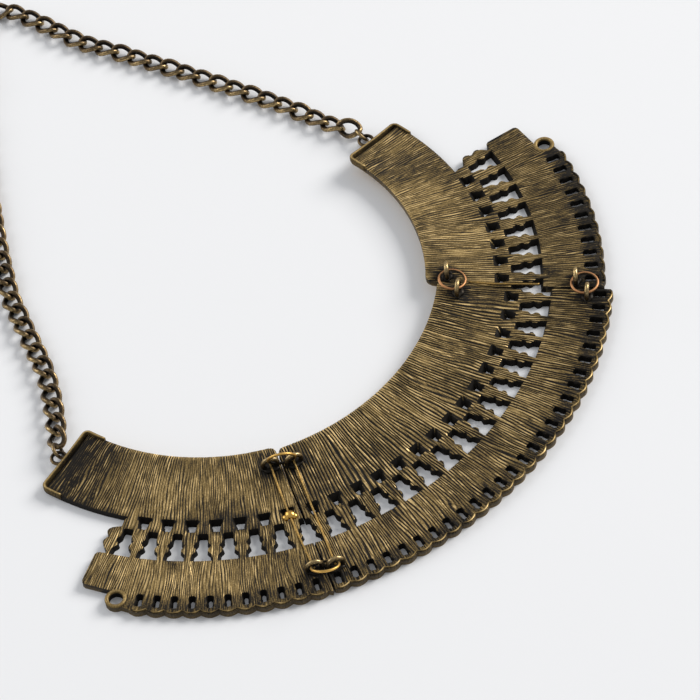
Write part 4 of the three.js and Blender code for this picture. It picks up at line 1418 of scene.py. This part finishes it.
def table_finish():
    material = bpy.data.materials.new("Pale table")
    material.use_nodes = True
    tree = Tree(material.node_tree)
    colour = Vector(bpy.context.scene.necklace_colours.table)
    tint = tree.mix(tree.noise(6, 2), (*(colour * 0.99), 1), (*colour, 1))
    shader = tree.nodes["Principled BSDF"].inputs
    tree.put(tint, shader["Base Color"])
    tree.put(0.6, shader["Roughness"])
    tree.put(0.2, shader["Specular IOR Level"])
    return material


# The stage: table, lights and the camera at the photograph's angle.

CAMERA_AZIMUTH = -45.457
CAMERA_ELEVATION = 49.483
CAMERA_ROLL = -8.452
CAMERA_DISTANCE = 935.81
CAMERA_TARGET = (3.832, -43.718, 2.0)
CAMERA_LENS = 194.04


Light = namedtuple("Light", "place size power colour")
LIGHTS = {
    "key_light": Light((3.1, -1.1, 2.0), 1.9, 152, (1, 0.99, 0.97)),
    "fill_light": Light((-0.9, 2.5, 1.5), 2.4, 40, (0.97, 0.985, 1)),
}
WORLD_COLOUR = (0.93, 0.96, 1, 1)
WORLD_STRENGTH = 0.46


def camera_axes():
    azimuth = math.radians(CAMERA_AZIMUTH)
    elevation = math.radians(CAMERA_ELEVATION)
    roll = math.radians(CAMERA_ROLL)
    reach = math.cos(elevation)
    back = Vector((math.sin(azimuth) * reach, -math.cos(azimuth) * reach, math.sin(elevation)))
    right = Vector((math.cos(azimuth), math.sin(azimuth), 0))
    up = back.cross(right)
    return (
        right * math.cos(roll) + up * math.sin(roll),
        up * math.cos(roll) - right * math.sin(roll),
        back,
    )


def add_light(name, lamp, target):
    light = added(bpy.ops.object.light_add, type="AREA", location=lamp.place)
    light.name = name
    light.data.size = lamp.size
    light.data.energy = lamp.power
    light.data.color = lamp.colour
    light.rotation_euler = (Vector(target) - Vector(lamp.place)).to_track_quat("-Z", "Y").to_euler()


class NECKLACE_OT_stage(bpy.types.Operator):
    """Adds the pale table, soft light and the camera"""
    bl_idname = "necklace.stage"
    bl_label = "Table, light and camera"

    def execute(self, context):
        table = added(bpy.ops.mesh.primitive_plane_add, size=6, location=(0, 0.06, 0))
        table.name = "table_top"
        table.data.materials.append(table_finish())
        middle = (0.0, 0.05, 0.0)
        for name, lamp in LIGHTS.items():
            add_light(name, lamp, middle)
        world = bpy.data.worlds.new("Pale studio")
        world.use_nodes = True
        sky = world.node_tree.nodes["Background"].inputs
        sky["Color"].default_value = WORLD_COLOUR
        sky["Strength"].default_value = WORLD_STRENGTH
        context.scene.world = world
        right, up, back = camera_axes()
        target = Vector((CAMERA_TARGET[0], CAMERA_TARGET[1] + ORIGIN_RADIUS, CAMERA_TARGET[2])) * MM
        place = target + back * CAMERA_DISTANCE * MM
        camera = added(bpy.ops.object.camera_add)
        camera.name = "photo_camera"
        camera.data.sensor_width = 36
        camera.data.lens = CAMERA_LENS
        camera.data.clip_end = 20
        turn = Matrix((right, up, back)).transposed().to_4x4()
        camera.matrix_world = Matrix.Translation(place) @ turn
        context.scene.camera = camera
        context.scene.view_settings.view_transform = "Standard"
        return {"FINISHED"}


class NECKLACE_PT_panel(bpy.types.Panel):
    """Lists the pieces and their sizes in the sidebar"""
    bl_label = "Bib necklace"
    bl_space_type = "VIEW_3D"
    bl_region_type = "UI"
    bl_category = "Necklace"

    def draw(self, context):
        for operator in OPERATORS:
            self.layout.operator(operator.bl_idname)
        for group in (context.scene.necklace_sizes, context.scene.necklace_colours):
            box = self.layout.box()
            for name in group.__annotations__:
                box.prop(group, name)


OPERATORS = (
    NECKLACE_OT_stage,
    NECKLACE_OT_centre_plate,
    NECKLACE_OT_side_plates,
    NECKLACE_OT_jump_rings,
    NECKLACE_OT_chains,
    NECKLACE_OT_clasp,
)
CLASSES = (NecklaceSizes, NecklaceColours, *OPERATORS, NECKLACE_PT_panel)


def register():
    for kind in CLASSES:
        bpy.utils.register_class(kind)
    bpy.types.Scene.necklace_sizes = PointerProperty(type=NecklaceSizes)
    bpy.types.Scene.necklace_colours = PointerProperty(type=NecklaceColours)


def unregister():
    del bpy.types.Scene.necklace_colours
    del bpy.types.Scene.necklace_sizes
    for kind in reversed(CLASSES):
        bpy.utils.unregister_class(kind)


def main():
    register()
    bpy.ops.necklace.stage()
    bpy.ops.necklace.centre_plate()
    bpy.ops.necklace.side_plates()
    bpy.ops.necklace.jump_rings()
    bpy.ops.necklace.chains()
    bpy.ops.necklace.clasp()


if __name__ == "__main__":
    main()
